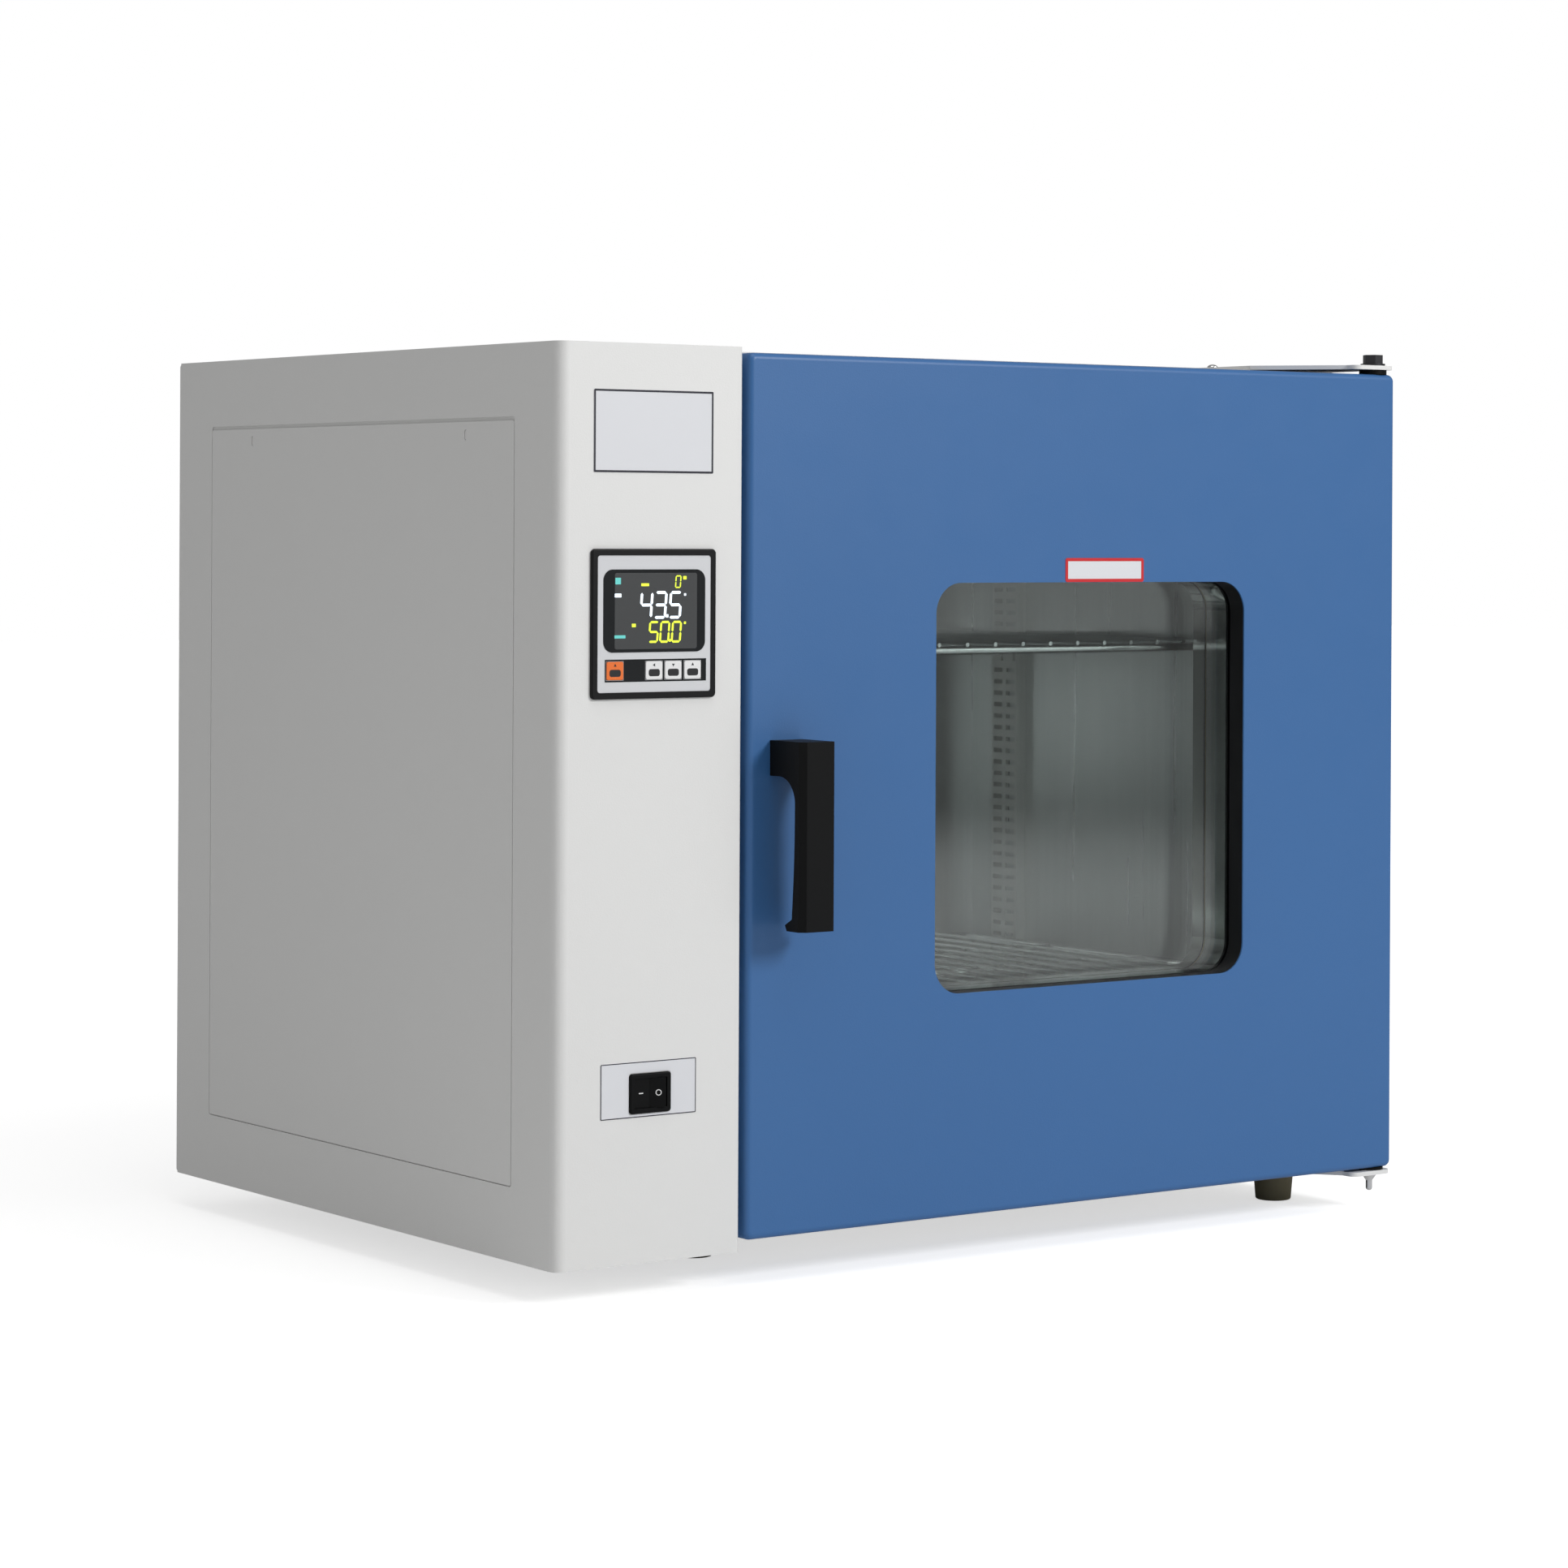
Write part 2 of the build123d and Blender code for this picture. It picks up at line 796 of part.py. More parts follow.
def fan_wheel():
    # a centrifugal wheel: back plate, swept blades, front ring and a hub on the shaft
    back_plate = Circle(fan_diameter / 2)
    hub = Circle(fan_hub_diameter / 2)
    ring = Circle(fan_diameter / 2) - Circle(fan_eye_diameter / 2)
    inner = fan_eye_diameter / 2 - fan_blade_lap
    outer = fan_diameter / 2 - fan_tip_gap
    tip = (outer * cos(radians(fan_blade_sweep)), outer * sin(radians(fan_blade_sweep)))
    middle_radius = (inner + outer) / 2 + fan_tip_gap
    bow = radians(fan_blade_bow)
    middle = (middle_radius * cos(bow), middle_radius * sin(bow))
    blade = trace(ThreePointArc((inner, 0), middle, tip), fan_sheet)
    blades = Sketch() + [turn * blade for turn in PolarLocations(0, fan_blades)]
    wheel = extrude(back_plate, fan_sheet) + extrude(hub, fan_width)
    wheel += extrude(blades, fan_width - fan_sheet)
    wheel += Pos(0, 0, fan_width - fan_sheet) * extrude(ring, fan_sheet)
    wheel -= extrude(Circle(shaft_diameter / 2), fan_width)
    seat = Plane((duct_left + fan_wall_gap, fan_y, fan_z), (0, 1, 0), (1, 0, 0))
    return seat * wheel


def heater_holes():
    y = chamber_front + heater_from_front
    halves = (-heater_spread / 2, heater_spread / 2)
    return [(y, fan_z + row + half) for row in heater_rows for half in halves]


def tube_heaters():
    # two hairpin elements, whose ends pass through the wall into the column
    start = wall_face - heater_tail
    middle = (duct_left + panel_left) / 2
    y0 = chamber_front + heater_from_front
    y1 = y0 + heater_reach
    elements = []
    for row in heater_rows:
        low = fan_z + row - heater_spread / 2
        high = fan_z + row + heater_spread / 2
        path = FilletPolyline(
            (start, y0, low),
            (middle, y0, low),
            (middle, y1, low),
            (middle, y1, high),
            (middle, y0, high),
            (start, y0, high),
            radius=heater_bend,
        )
        section = Plane((start, y0, low), (0, 1, 0), (1, 0, 0)) * Circle(heater_diameter / 2)
        elements.append(sweep(section, path))
    return group(elements)


def temperature_probe():
    rod = rod_x(probe_diameter, wall_face - heater_tail, chamber_left + probe_reach, probe_y, probe_z)
    tip = rod.edges().filter_by(GeomType.CIRCLE).sort_by(Axis.X)[-1]
    rod = fillet(tip, probe_tip_round)
    return rod + rod_x(probe_collar_diameter, duct_left, duct_left + probe_collar, probe_y, probe_z)


def post_places():
    return (chamber_front + post_from_front, chamber_back - post_from_back)


def post_slot_rows():
    low = chamber_bottom + (chamber_height - post_height) / 2
    count = int(post_height // post_slot_pitch)
    return [low + post_slot_pitch * (i + 0.5) for i in range(count)]


def shelf_post():
    # a channel with pairs of slots, its back towards the wall; built at the left wall, middle of depth
    outline = Rectangle(post_depth, post_width)
    inside = Pos(-post_sheet) * Rectangle(post_depth, post_width - 2 * post_sheet)
    z0 = chamber_bottom + (chamber_height - post_height) / 2
    post = plan_slab(Pos(post_depth / 2) * (outline - inside), z0, z0 + post_height)
    cuts = Sketch()
    for z in post_slot_rows():
        for y in (-post_slot_spread / 2, post_slot_spread / 2):
            cuts += Pos(y, z) * Rectangle(post_slot_width, post_slot_height)
    return post - side_slab(cuts, post_depth - post_sheet, post_depth)


def on_both_walls(piece):
    # copies of a piece drawn at x = 0 for the left wall, at each post on both walls
    places = []
    for y in post_places():
        places.append(Pos(chamber_left, y, 0) * piece)
        places.append(Pos(chamber_right, y, 0) * mirror(piece, Plane.YZ))
    return places


def shelf_posts():
    return group(on_both_walls(shelf_post()))


def shelf_clips():
    # a bent clip hooks into two slots of each post and holds the shelf's side rod on its ledge
    face = post_depth + seat_gap
    behind = post_depth - post_sheet - seat_gap
    clips = []
    for height in shelf_heights:
        ledge = chamber_bottom + height - shelf_rod / 2 - seat_gap
        slot = max(z for z in post_slot_rows() if z <= ledge - clip_leg)
        low = slot - post_slot_height / 2 + seat_gap
        profile = make_face(
            Polyline(
                (face, low),
                (behind, low),
                (behind, low - clip_nib),
                (behind - clip_sheet, low - clip_nib),
                (behind - clip_sheet, low + clip_sheet),
                (face, low + clip_sheet),
                (face, ledge),
                (face + clip_ledge, ledge),
                (face + clip_ledge, ledge - clip_sheet),
                (face + clip_sheet, ledge - clip_sheet),
                (face + clip_sheet, low),
                close=True,
            )
        )
        hook = extrude(Plane.XZ * profile, clip_width / 2, both=True)
        pair = Pos(0, -post_slot_spread / 2, 0) * hook + Pos(0, post_slot_spread / 2, 0) * hook
        bridge = block(
            face, face + clip_ledge, -post_slot_spread / 2, post_slot_spread / 2, ledge - clip_sheet, ledge
        )
        clips += on_both_walls(pair + bridge)
    return group(clips)


def wire_shelf(height):
    # a rod frame with rounded corners, stiffening rods across it and thin wires welded on top
    x0 = chamber_left + post_depth + shelf_side_gap
    x1 = chamber_right - post_depth - shelf_side_gap
    y0 = chamber_front + shelf_from_front
    y1 = chamber_back - shelf_from_back
    z = chamber_bottom + height
    width = x1 - x0 - shelf_rod
    depth = y1 - y0 - shelf_rod
    loop = RectangleRounded(width, depth, shelf_corner).face().outer_wire()
    centre = Pos(chamber_x, (y0 + y1) / 2, z)
    start = Plane((0, -depth / 2, 0), (0, 1, 0), (1, 0, 0)) * Circle(shelf_rod / 2)
    shelf = centre * sweep(start, loop)
    for y in spread(shelf_stiffeners, depth / (shelf_stiffeners + 1), (y0 + y1) / 2):
        shelf += rod_x(shelf_stiffener, x0 + shelf_rod / 2, x1 - shelf_rod / 2, y, z)
    wires = int((width - shelf_wire_pitch) // (2 * shelf_wire_pitch)) * 2 + 1
    wire_z = z + (shelf_rod + shelf_wire) / 2 - weld_sink
    for x in spread(wires, shelf_wire_pitch, chamber_x):
        shelf += rod_y(shelf_wire, y0 + wire_end_inset, y1 - wire_end_inset, x, wire_z)
    return shelf


def controller_bezel():
    wide = Pos(controller_x, controller_z) * RectangleRounded(
        controller_size, controller_size, controller_corner
    )
    inside = controller_size - 2 * controller_bezel_wall
    frame = front_slab(wide, front - controller_bezel_reach, front)
    rim = frame.faces().sort_by(Axis.Y)[0].edges()
    frame = fillet(rim, controller_bezel_edge)
    hole = Pos(controller_x, controller_z) * RectangleRounded(
        inside, inside, controller_corner - controller_bezel_edge
    )
    return frame - front_slab(hole, front - controller_bezel_reach, front)


def key_centres():
    z = controller_z - key_row_below_centre
    return [(controller_x + offset_x, z) for offset_x in key_offsets]


def controller_face():
    inside = controller_size - 2 * controller_bezel_wall
    plate = Pos(controller_x, controller_z) * RectangleRounded(
        inside, inside, controller_corner - controller_bezel_edge
    )
    y0 = front - controller_bezel_reach + controller_face_recess
    for x, z in key_centres():
        plate -= Pos(x, z) * Rectangle(key_width + 2 * key_clearance, key_height + 2 * key_clearance)
    return front_slab(plate, y0, y0 + controller_face_sheet)


def controller_display():
    y1 = front - controller_bezel_reach + controller_face_recess
    window = Pos(controller_x, controller_z + display_above_centre) * RectangleRounded(
        display_width, display_height, display_corner
    )
    return front_slab(window, y1 - display_proud, y1)


def controller_case():
    # the instrument's box, with a pocket behind the keys and two terminal grooves at its rear
    body = Pos(controller_x, controller_z) * Rectangle(controller_case_size, controller_case_size)
    y1 = front + controller_case_depth
    case = front_slab(body, front, y1)
    pocket = Rectangle(key_pocket_width, key_pocket_height)
    row = Pos(controller_x, controller_z - key_row_below_centre)
    case -= front_slab(row * pocket, front, front + key_pocket_depth)
    groove = Rectangle(controller_groove_length, terminal_well_diameter)
    for z in (controller_z - controller_case_size / 4, controller_z + controller_case_size / 4):
        case -= front_slab(Pos(controller_x, z) * groove, y1 - terminal_well_depth, y1)
    return case


def controller_key(x, z):
    # a cap that slides in the face plate, with a rim behind it
    face = front - controller_bezel_reach + controller_face_recess
    rim_front = face + controller_face_sheet + seat_gap
    cap = front_slab(
        Pos(x, z) * RectangleRounded(key_width, key_height, key_corner), face - key_proud, rim_front
    )
    cap = fillet(cap.faces().sort_by(Axis.Y)[0].edges(), key_proud / 2)
    rim = RectangleRounded(key_width + 2 * key_rim, key_height + 2 * key_rim, key_corner)
    return cap + front_slab(Pos(x, z) * rim, rim_front, rim_front + key_rim_sheet)


def switch_housing():
    centre = Pos(switch_x, switch_z)
    bezel = front_slab(
        centre * RectangleRounded(switch_width, switch_height, switch_corner), front - switch_bezel, front
    )
    bezel = fillet(bezel.faces().sort_by(Axis.Y)[0].edges(), switch_bezel / 2)
    housing = bezel + front_slab(
        centre * Rectangle(switch_body_width, switch_body_height), front, front + switch_body_depth
    )
    cavity = Rectangle(2 * (rocker_radius + rocker_clearance), rocker_height + 2 * rocker_clearance)
    depth = rocker_pivot_depth + rocker_radius + rocker_clearance
    housing -= front_slab(centre * cavity, front - switch_bezel, front + depth)
    pin_span = switch_body_height / 2
    housing -= rod_z(
        rocker_pin + 2 * running_fit, switch_z - pin_span, switch_z + pin_span, switch_x,
        front + rocker_pivot_depth,
    )
    for x in spread(2, switch_body_width / 2, switch_x):
        tab = Pos(x, switch_z) * Rectangle(switch_tab_sheet, switch_tab_width)
        rear = front + switch_body_depth
        housing += front_slab(tab, rear, rear + switch_tab_length)
    return housing


def switch_rocker():
    # the rocker's ends are round about its pin; at rest its left end is pressed in
    hollow = make_face(
        Polyline(
            [
                (-rocker_radius, -rocker_rise),
                (0, -rocker_waist),
                (rocker_radius, -rocker_rise),
                (rocker_root_half, rocker_root),
                (-rocker_root_half, rocker_root),
            ],
            close=True,
        )
    )
    section = hollow & Circle(rocker_radius)
    rocker = extrude(section, rocker_height / 2, both=True)
    rocker += extrude(Circle(rocker_pin / 2), switch_body_height / 2 - moving_gap, both=True)
    return Pos(switch_x, front + rocker_pivot_depth, switch_z) * Rot(0, 0, -rocker_tilt) * rocker


def terminal_block():
    # a moulded strip with a screw well for each wire
    x1 = wall_face
    x0 = x1 - terminal_depth
    y = back - terminal_from_back
    strip = block(
        x0, x1, y - terminal_length, y, inlet_z - terminal_height / 2, inlet_z + terminal_height / 2
    )
    strip = fillet(strip.edges().filter_by(Axis.Y), terminal_edge)
    for place in spread(terminal_ways, terminal_length / terminal_ways, y - terminal_length / 2):
        strip -= rod_x(terminal_well_diameter, x0, x0 + terminal_well_depth, place, inlet_z)
    return strip


def relay():
    # a solid-state relay on a finned heat sink
    y = fan_y
    z = fan_z - motor_diameter - relay_height
    x1 = wall_face
    sink = block(
        x1 - sink_base, x1, y - relay_width, y + relay_width, z - relay_height / 2, z + relay_height / 2
    )
    for place in spread(sink_fins, 2 * relay_width / sink_fins, y):
        if abs(place - y) > (relay_width + sink_fin) / 2:
            sink += block(
                x1 - sink_base - sink_fin_depth, x1 - sink_base, place - sink_fin / 2, place + sink_fin / 2,
                z - relay_height / 2, z + relay_height / 2,
            )
    sink += block(
        x1 - sink_base - relay_depth, x1 - sink_base, y - relay_width / 2, y + relay_width / 2,
        z - relay_height / 2, z + relay_height / 2,
    )
    return sink


def overheat_limiter():
    # a snap thermostat held on the wall by its strap
    y = fan_y + motor_flange_diameter
    z = fan_z + heater_rows[0]
    strap = Pos(y, z) * SlotOverall(limiter_strap_length, limiter_strap_height)
    piece = side_slab(strap, wall_face - limiter_strap, wall_face)
    return piece + rod_x(limiter_diameter, wall_face - limiter_depth, wall_face, y, z)


def power_inlet():
    centre = Pos(inlet_x, inlet_z)
    inlet = front_slab(
        centre * RectangleRounded(inlet_flange_width, inlet_flange_height, inlet_corner), back,
        back + inlet_reach,
    )
    inlet = fillet(inlet.faces().sort_by(Axis.Y)[-1].edges(), inlet_edge)
    inlet += front_slab(
        centre * Rectangle(inlet_body_width, inlet_body_height), back - inlet_body_depth, back
    )
    mouth = RectangleRounded(inlet_mouth_width, inlet_mouth_height, inlet_mouth_corner)
    inlet -= front_slab(centre * mouth, back + inlet_reach - inlet_mouth_depth, back + inlet_reach)
    floor = back + inlet_reach - inlet_mouth_depth
    lifts = (-inlet_pin_offset, inlet_pin_offset, -inlet_pin_offset)
    for offset_x, lift in zip((-inlet_pin_pitch, 0, inlet_pin_pitch), lifts):
        pin = Pos(inlet_x + offset_x, inlet_z + lift) * Rectangle(inlet_pin_sheet, inlet_pin_width)
        inlet += front_slab(pin, floor, floor + inlet_pin_length)
    return inlet


def vent_duct():
    # a pipe from the chamber's ceiling to a ported plate on the cabinet's top, with the damper's pin
    pipe = Circle(vent_pipe_diameter / 2) - Circle(vent_pipe_diameter / 2 - vent_pipe_wall)
    ports = PolarLocations(vent_port_circle / 2, vent_ports) * Circle(vent_port_diameter / 2)
    plate = Circle(vent_flange_diameter / 2) - ports
    duct = plan_slab(pipe, chamber_top, top) + plan_slab(plate, top, top + vent_flange)
    stem = vent_flange + seat_gap + damper_sheet + damper_knob - damper_pin_recess
    duct += plan_slab(Circle(damper_pin / 2), top, top + stem)
    return Pos(chamber_x, vent_y, 0) * duct


def vent_damper():
    # a round plate with the same ports, turned by a grooved knob; at rest its ports are open
    ports = PolarLocations(vent_port_circle / 2, vent_ports) * Circle(vent_port_diameter / 2)
    base = top + vent_flange + seat_gap
    plate = plan_slab(Circle(damper_diameter / 2) - ports, base, base + damper_sheet)
    grooves = PolarLocations(damper_knob_diameter / 2, damper_grooves) * Circle(damper_groove)
    knob_outline = Circle(damper_knob_diameter / 2) - grooves
    knob = plan_slab(knob_outline, base + damper_sheet, base + damper_sheet + damper_knob)
    damper = plate + knob
    damper -= plan_slab(Circle(damper_pin / 2 + running_fit), base, base + damper_sheet + damper_knob)
    return Pos(chamber_x, vent_y, 0) * damper


def hinge_outline(reach):
    # a plate that narrows from the cabinet towards the pin
    wide = hinge_x - hinge_plate_spread - hinge_plate_edge
    taper = Polyline(
        (right - hinge_plate_width, hinge_y), (right, hinge_y), (right, frame_front), (wide, frame_front),
        close=True,
    )
    nose = Rectangle(hinge_plate_width, 2 * pin_from_front)
    outline = make_face(taper) + Pos(right - hinge_plate_width / 2, hinge_y) * nose
    if reach > 0:
        outline += Pos((wide + right) / 2, frame_front + reach / 2) * Rectangle(right - wide, reach)
    return fillet(outline.vertices().group_by(Axis.Y)[0], hinge_plate_edge)


def hinge_plate_top():
    plate = plan_slab(hinge_outline(hinge_plate_reach), top, top + hinge_plate)
    plate -= rod_z(pin_diameter + 2 * running_fit, top, top + hinge_plate, hinge_x, hinge_y)
    for x, y in top_plate_screws:
        plate -= rod_z(screw_diameter, top, top + hinge_plate, x, y)
    return plate


def hinge_plate_bottom():
    # the lower plate is bent up and screwed to the front frame behind the door
    z0 = bottom + case_sheet
    plate = plan_slab(hinge_outline(0), z0, z0 + hinge_plate)
    leg_left = hinge_x - hinge_plate_spread - hinge_plate_edge
    leg = block(leg_left, right, frame_front - hinge_plate, frame_front, z0, z0 + hinge_leg_height)
    leg = fillet(leg.edges().filter_by(Axis.Y).group_by(Axis.Z)[-1], hinge_plate_edge)
    plate += leg
    plate -= rod_z(pin_diameter + 2 * running_fit, z0, z0 + hinge_plate, hinge_x, hinge_y)
    for x, z in leg_screws:
        plate -= screw_hole_y(x, z, frame_front - hinge_plate, frame_front)
    return plate


def flange_bolt(head_side):
    # a bolt drawn up from the plate's face at z = 0; head_side is the hexagon above its round flange
    across = bolt_head_across / cos(radians(30)) / 2
    head = extrude(Circle(bolt_flange_diameter / 2), bolt_flange)
    head += Pos(0, 0, bolt_flange) * extrude(RegularPolygon(across, 6), head_side)
    return head


def hinge_bolt_top():
    bolt = flange_bolt(bolt_head)
    length = hinge_plate + door_gap_top + pin_depth_in_door
    bolt += Pos(0, 0, -length) * extrude(Circle(pin_diameter / 2), length)
    return Pos(hinge_x, hinge_y, top + hinge_plate) * bolt


def hinge_bolt_bottom():
    # a pin with a tapered collar under the plate, whose round tail hangs below
    face = bottom + case_sheet
    end = door_bottom - face + pin_depth_in_door
    profile = make_face(
        Polyline(
            [
                (0, end),
                (pin_diameter / 2, end),
                (pin_diameter / 2, 0),
                (collar_diameter / 2, 0),
                (collar_diameter / 2, -collar_height),
                (tail_diameter / 2, -collar_height - collar_taper),
                (tail_diameter / 2, -tail_drop),
                (0, -tail_drop),
            ],
            close=True,
        )
    )
    tip = profile.vertices().group_by(Axis.Y)[0].sort_by(Axis.X)[-1]
    profile = fillet(tip, tail_round)
    return Pos(hinge_x, hinge_y, face) * revolve(Plane.XZ * profile, Axis.Z)


def door_bush(edge, flange, inwards):
    # a flanged bush in the door's edge; inwards is +1 when the door lies above the edge
    outline = Circle(bush_diameter / 2) - Circle(pin_diameter / 2 + running_fit)
    rim = Circle(bush_flange_diameter / 2) - Circle(pin_diameter / 2 + running_fit)
    if inwards > 0:
        bush = plan_slab(outline, edge, edge + bush_length) + plan_slab(rim, edge - flange, edge)
    else:
        bush = plan_slab(outline, edge - bush_length, edge) + plan_slab(rim, edge, edge + flange)
    return Pos(hinge_x, hinge_y, 0) * bush


def door_bushes():
    upper = door_bush(door_top, door_gap_top - seat_gap, -1)
    lower_gap = door_gap_bottom - case_sheet - hinge_plate
    lower = door_bush(door_bottom, lower_gap - seat_gap, 1)
    return group([upper, lower])


def bush_cuts(grow):
    radius = bush_diameter / 2 + grow
    length = bush_length + grow
    cut = plan_slab(Circle(radius), door_top - length, door_top)
    cut += plan_slab(Circle(radius), door_bottom, door_bottom + length)
    return Pos(hinge_x, hinge_y, 0) * cut


def door_shell():
    # a painted tray, open at the rear, with round front edges and the window's opening
    shell = block(door_left, door_right, front, door_back, door_bottom, door_top)
    shell = fillet(shell.edges().filter_by(Axis.Y), door_edge_radius)
    shell = fillet(shell.faces().sort_by(Axis.Y)[0].edges(), door_face_radius)
    rear = shell.faces().sort_by(Axis.Y)[-1]
    shell = offset(shell, -door_skin, openings=rear)
    shell -= front_slab(window_outline(0), front, front + door_skin)
    shell -= bush_cuts(0)
    for x, z in handle_screw_places():
        shell -= screw_hole_y(x, z, front, front + door_skin)
    return shell


def window_outline(grow):
    return Pos(window_x, door_z) * RectangleRounded(
        window_size + 2 * grow, window_size + 2 * grow, window_corner + grow
    )


def door_inner_panel():
    # a steel pan that closes the door, with flanges inside the shell and a collar round the window
    inset = door_skin
    width = door_right - door_left - 2 * inset
    height = door_top - door_bottom - 2 * inset
    corner = door_edge_radius - door_skin
    outline = Pos(door_x, door_z) * RectangleRounded(width, height, corner)
    inside = Pos(door_x, door_z) * RectangleRounded(
        width - 2 * inner_panel_sheet, height - 2 * inner_panel_sheet, corner - inner_panel_sheet
    )
    pan = front_slab(outline - window_outline(0), door_back - inner_panel_sheet, door_back)
    pan += front_slab(outline - inside, door_back - inner_panel_flange, door_back)
    collar = window_outline(inner_panel_sheet) - window_outline(0)
    return pan + front_slab(collar, front + inner_glass_depth + glass_thickness, door_back)


def window_rubber():
    # a black moulded frame that lines the opening and holds the outer pane in its groove
    y1 = front + window_recess + glass_thickness + rubber_lip
    ring = front_slab(window_outline(rubber_wall) - window_outline(0), front + door_skin, y1)
    groove = window_outline(glass_lap)
    return ring - front_slab(groove, front + window_recess, front + window_recess + glass_thickness)


def window_outer_glass():
    y0 = front + window_recess
    return front_slab(window_outline(glass_lap - seat_gap), y0, y0 + glass_thickness)


def window_inner_glass():
    y0 = front + inner_glass_depth
    return front_slab(window_outline(glass_lap), y0, y0 + glass_thickness)


def window_tunnel():
    # a steel sleeve between the two panes, turned out where the inner pane rests
    y0 = front + window_recess + glass_thickness + rubber_lip
    y1 = front + inner_glass_depth
    sleeve = front_slab(window_outline(tunnel_sheet) - window_outline(0), y0, y1)
    rim = window_outline(rubber_wall) - window_outline(0)
    return sleeve + front_slab(rim, y1 - tunnel_sheet, y1)


def door_lagging():
    # mineral wool that fills the door round its window
    inset = door_skin + inner_panel_sheet + wool_gap
    width = door_right - door_left - 2 * inset
    height = door_top - door_bottom - 2 * inset
    outline = Pos(door_x, door_z) * Rectangle(width, height) - window_outline(rubber_wall)
    wool = front_slab(outline, front + door_skin + wool_gap, door_back - inner_panel_sheet)
    wool -= bush_cuts(hole_clearance)
    for x, z in handle_screw_places():
        wool -= rod_y(
            screw_head_diameter + screw_head_gap, front + door_skin + wool_gap,
            front + door_skin + screw_head + screw_head_gap, x, z,
        )
    return wool


def door_seal():
    # a round-backed silicone strip that meets the frame round the chamber's mouth
    width = chamber_width + 2 * seal_margin
    height = chamber_height + 2 * seal_margin
    ring = RectangleRounded(width + 2 * seal_width, height + 2 * seal_width, seal_corner + seal_width)
    ring -= RectangleRounded(width, height, seal_corner)
    seal = front_slab(Pos(chamber_x, chamber_z) * ring, door_back, frame_front - moving_gap)
    rim = seal.faces().sort_by(Axis.Y)[-1].edges()
    return fillet(rim, seal_edge)


def catch_centre():
    middle = (column_right + chamber_left - seal_margin - seal_width) / 2
    return middle, bottom + catch_above_bottom


def catch_magnet():
    x, z = catch_centre()
    y0 = door_back + catch_plate_thickness + moving_gap
    body = front_slab(Pos(x, z) * RectangleRounded(catch_width, catch_height, catch_corner), y0, frame_front)
    groove = Pos(x, z) * Rectangle(catch_groove_width, catch_groove_length)
    return body - front_slab(groove, y0, y0 + catch_groove_depth)


def catch_plate():
    x, z = catch_centre()
    plate = RectangleRounded(
        catch_width - 2 * catch_plate_inset, catch_height - 2 * catch_plate_inset, catch_corner
    )
    return front_slab(Pos(x, z) * plate, door_back, door_back + catch_plate_thickness)


def handle_screw_places():
    x = door_left + handle_from_door_edge + handle_width / 2
    z = bottom + handle_above_bottom + handle_height - handle_root_height / 2
    return [(place, z) for place in spread(2, handle_width / 2, x)]


def door_handle():
    # a pull that stands off the door at its top and hangs free below, with a lip for the fingers
    z0 = bottom + handle_above_bottom
    z1 = z0 + handle_height
    root = z1 - handle_root_height
    toe = z0 + grip_toe_rise
    face = front - handle_reach
    inner = face + grip_thickness
    profile = make_face(
        Polyline((front, root), (front, z1), (face, z1), (face, z0), (face + lip_depth - lip_bevel, z0),
                 (face + lip_depth, z0 + lip_rise), (face + grip_toe_thickness, toe))
        + ThreePointArc(
            (face + grip_toe_thickness, toe),
            (inner + grip_hollow, toe + grip_hollow_at * (root - handle_corner - toe)),
            (inner, root - handle_corner),
        )
        + ThreePointArc(
            (inner, root - handle_corner),
            (inner + handle_corner_bulge * handle_corner, root - handle_corner_bulge * handle_corner),
            (inner + handle_corner, root),
        )
        + Line((inner + handle_corner, root), (front, root))
    )
    x0 = door_left + handle_from_door_edge
    handle = side_slab(profile, x0, x0 + handle_width)
    upright = handle.faces().sort_by(Axis.Y)[0].edges().filter_by(Axis.Z).sort_by(Axis.X)
    handle = chamfer(upright[0], handle_bevel)
    upright = handle.faces().filter_by(Axis.Y).sort_by(Axis.Y)[0].edges().filter_by(Axis.Z).sort_by(Axis.X)
    handle = fillet(upright[-1], handle_edge)
    for x, z in handle_screw_places():
        handle -= rod_y(screw_diameter, front - screw_length, front, x, z)
    return handle


def screw(length):
    # a pan head above z = 0 and its shank below
    head = extrude(Circle(screw_head_diameter / 2), screw_head)
    head = fillet(head.edges().group_by(Axis.Z)[-1], screw_head_round)
    return head + Pos(0, 0, -length) * extrude(Circle(screw_diameter / 2 - seat_gap), length)


def handle_screws():
    # they come through the door's skin from inside it, into the handle's root
    piece = Rot(-90, 0, 0) * screw(door_skin + handle_screw_grip)
    return group([Pos(x, front + door_skin, z) * piece for x, z in handle_screw_places()])


def case_screws():
    pieces = []
    rear = Rot(-90, 0, 0) * screw(screw_length)
    facing = Rot(90, 0, 0) * screw(screw_length)
    upright = screw(screw_length)
    for x, z in back_screw_places:
        pieces.append(Pos(x, back, z) * rear)
    for x, z in leg_screws:
        pieces.append(Pos(x, frame_front - hinge_plate, z) * facing)
    for x, y in top_plate_screws:
        pieces.append(Pos(x, y, top + hinge_plate) * upright)
    return group(pieces)


def foot(x, y):
    # a tapered rubber foot, hollow below round its screw
    well = screw_head_diameter / 2 + foot_well_gap
    web = foot_height - screw_length
    points = [
        (well, 0),
        (foot_bottom_diameter / 2, 0),
        (foot_top_diameter / 2, foot_height),
        (screw_diameter / 2, foot_height),
        (screw_diameter / 2, web),
        (well, web),
    ]
    profile = make_face(Polyline(points, close=True))
    profile = fillet(profile.vertices().sort_by(Axis.X)[-1], foot_edge)
    profile = fillet(profile.vertices().group_by(Axis.Y)[0].sort_by(Axis.X)[-1], foot_edge)
    return Pos(x, y, 0) * revolve(Plane.XZ * profile, Axis.Z)


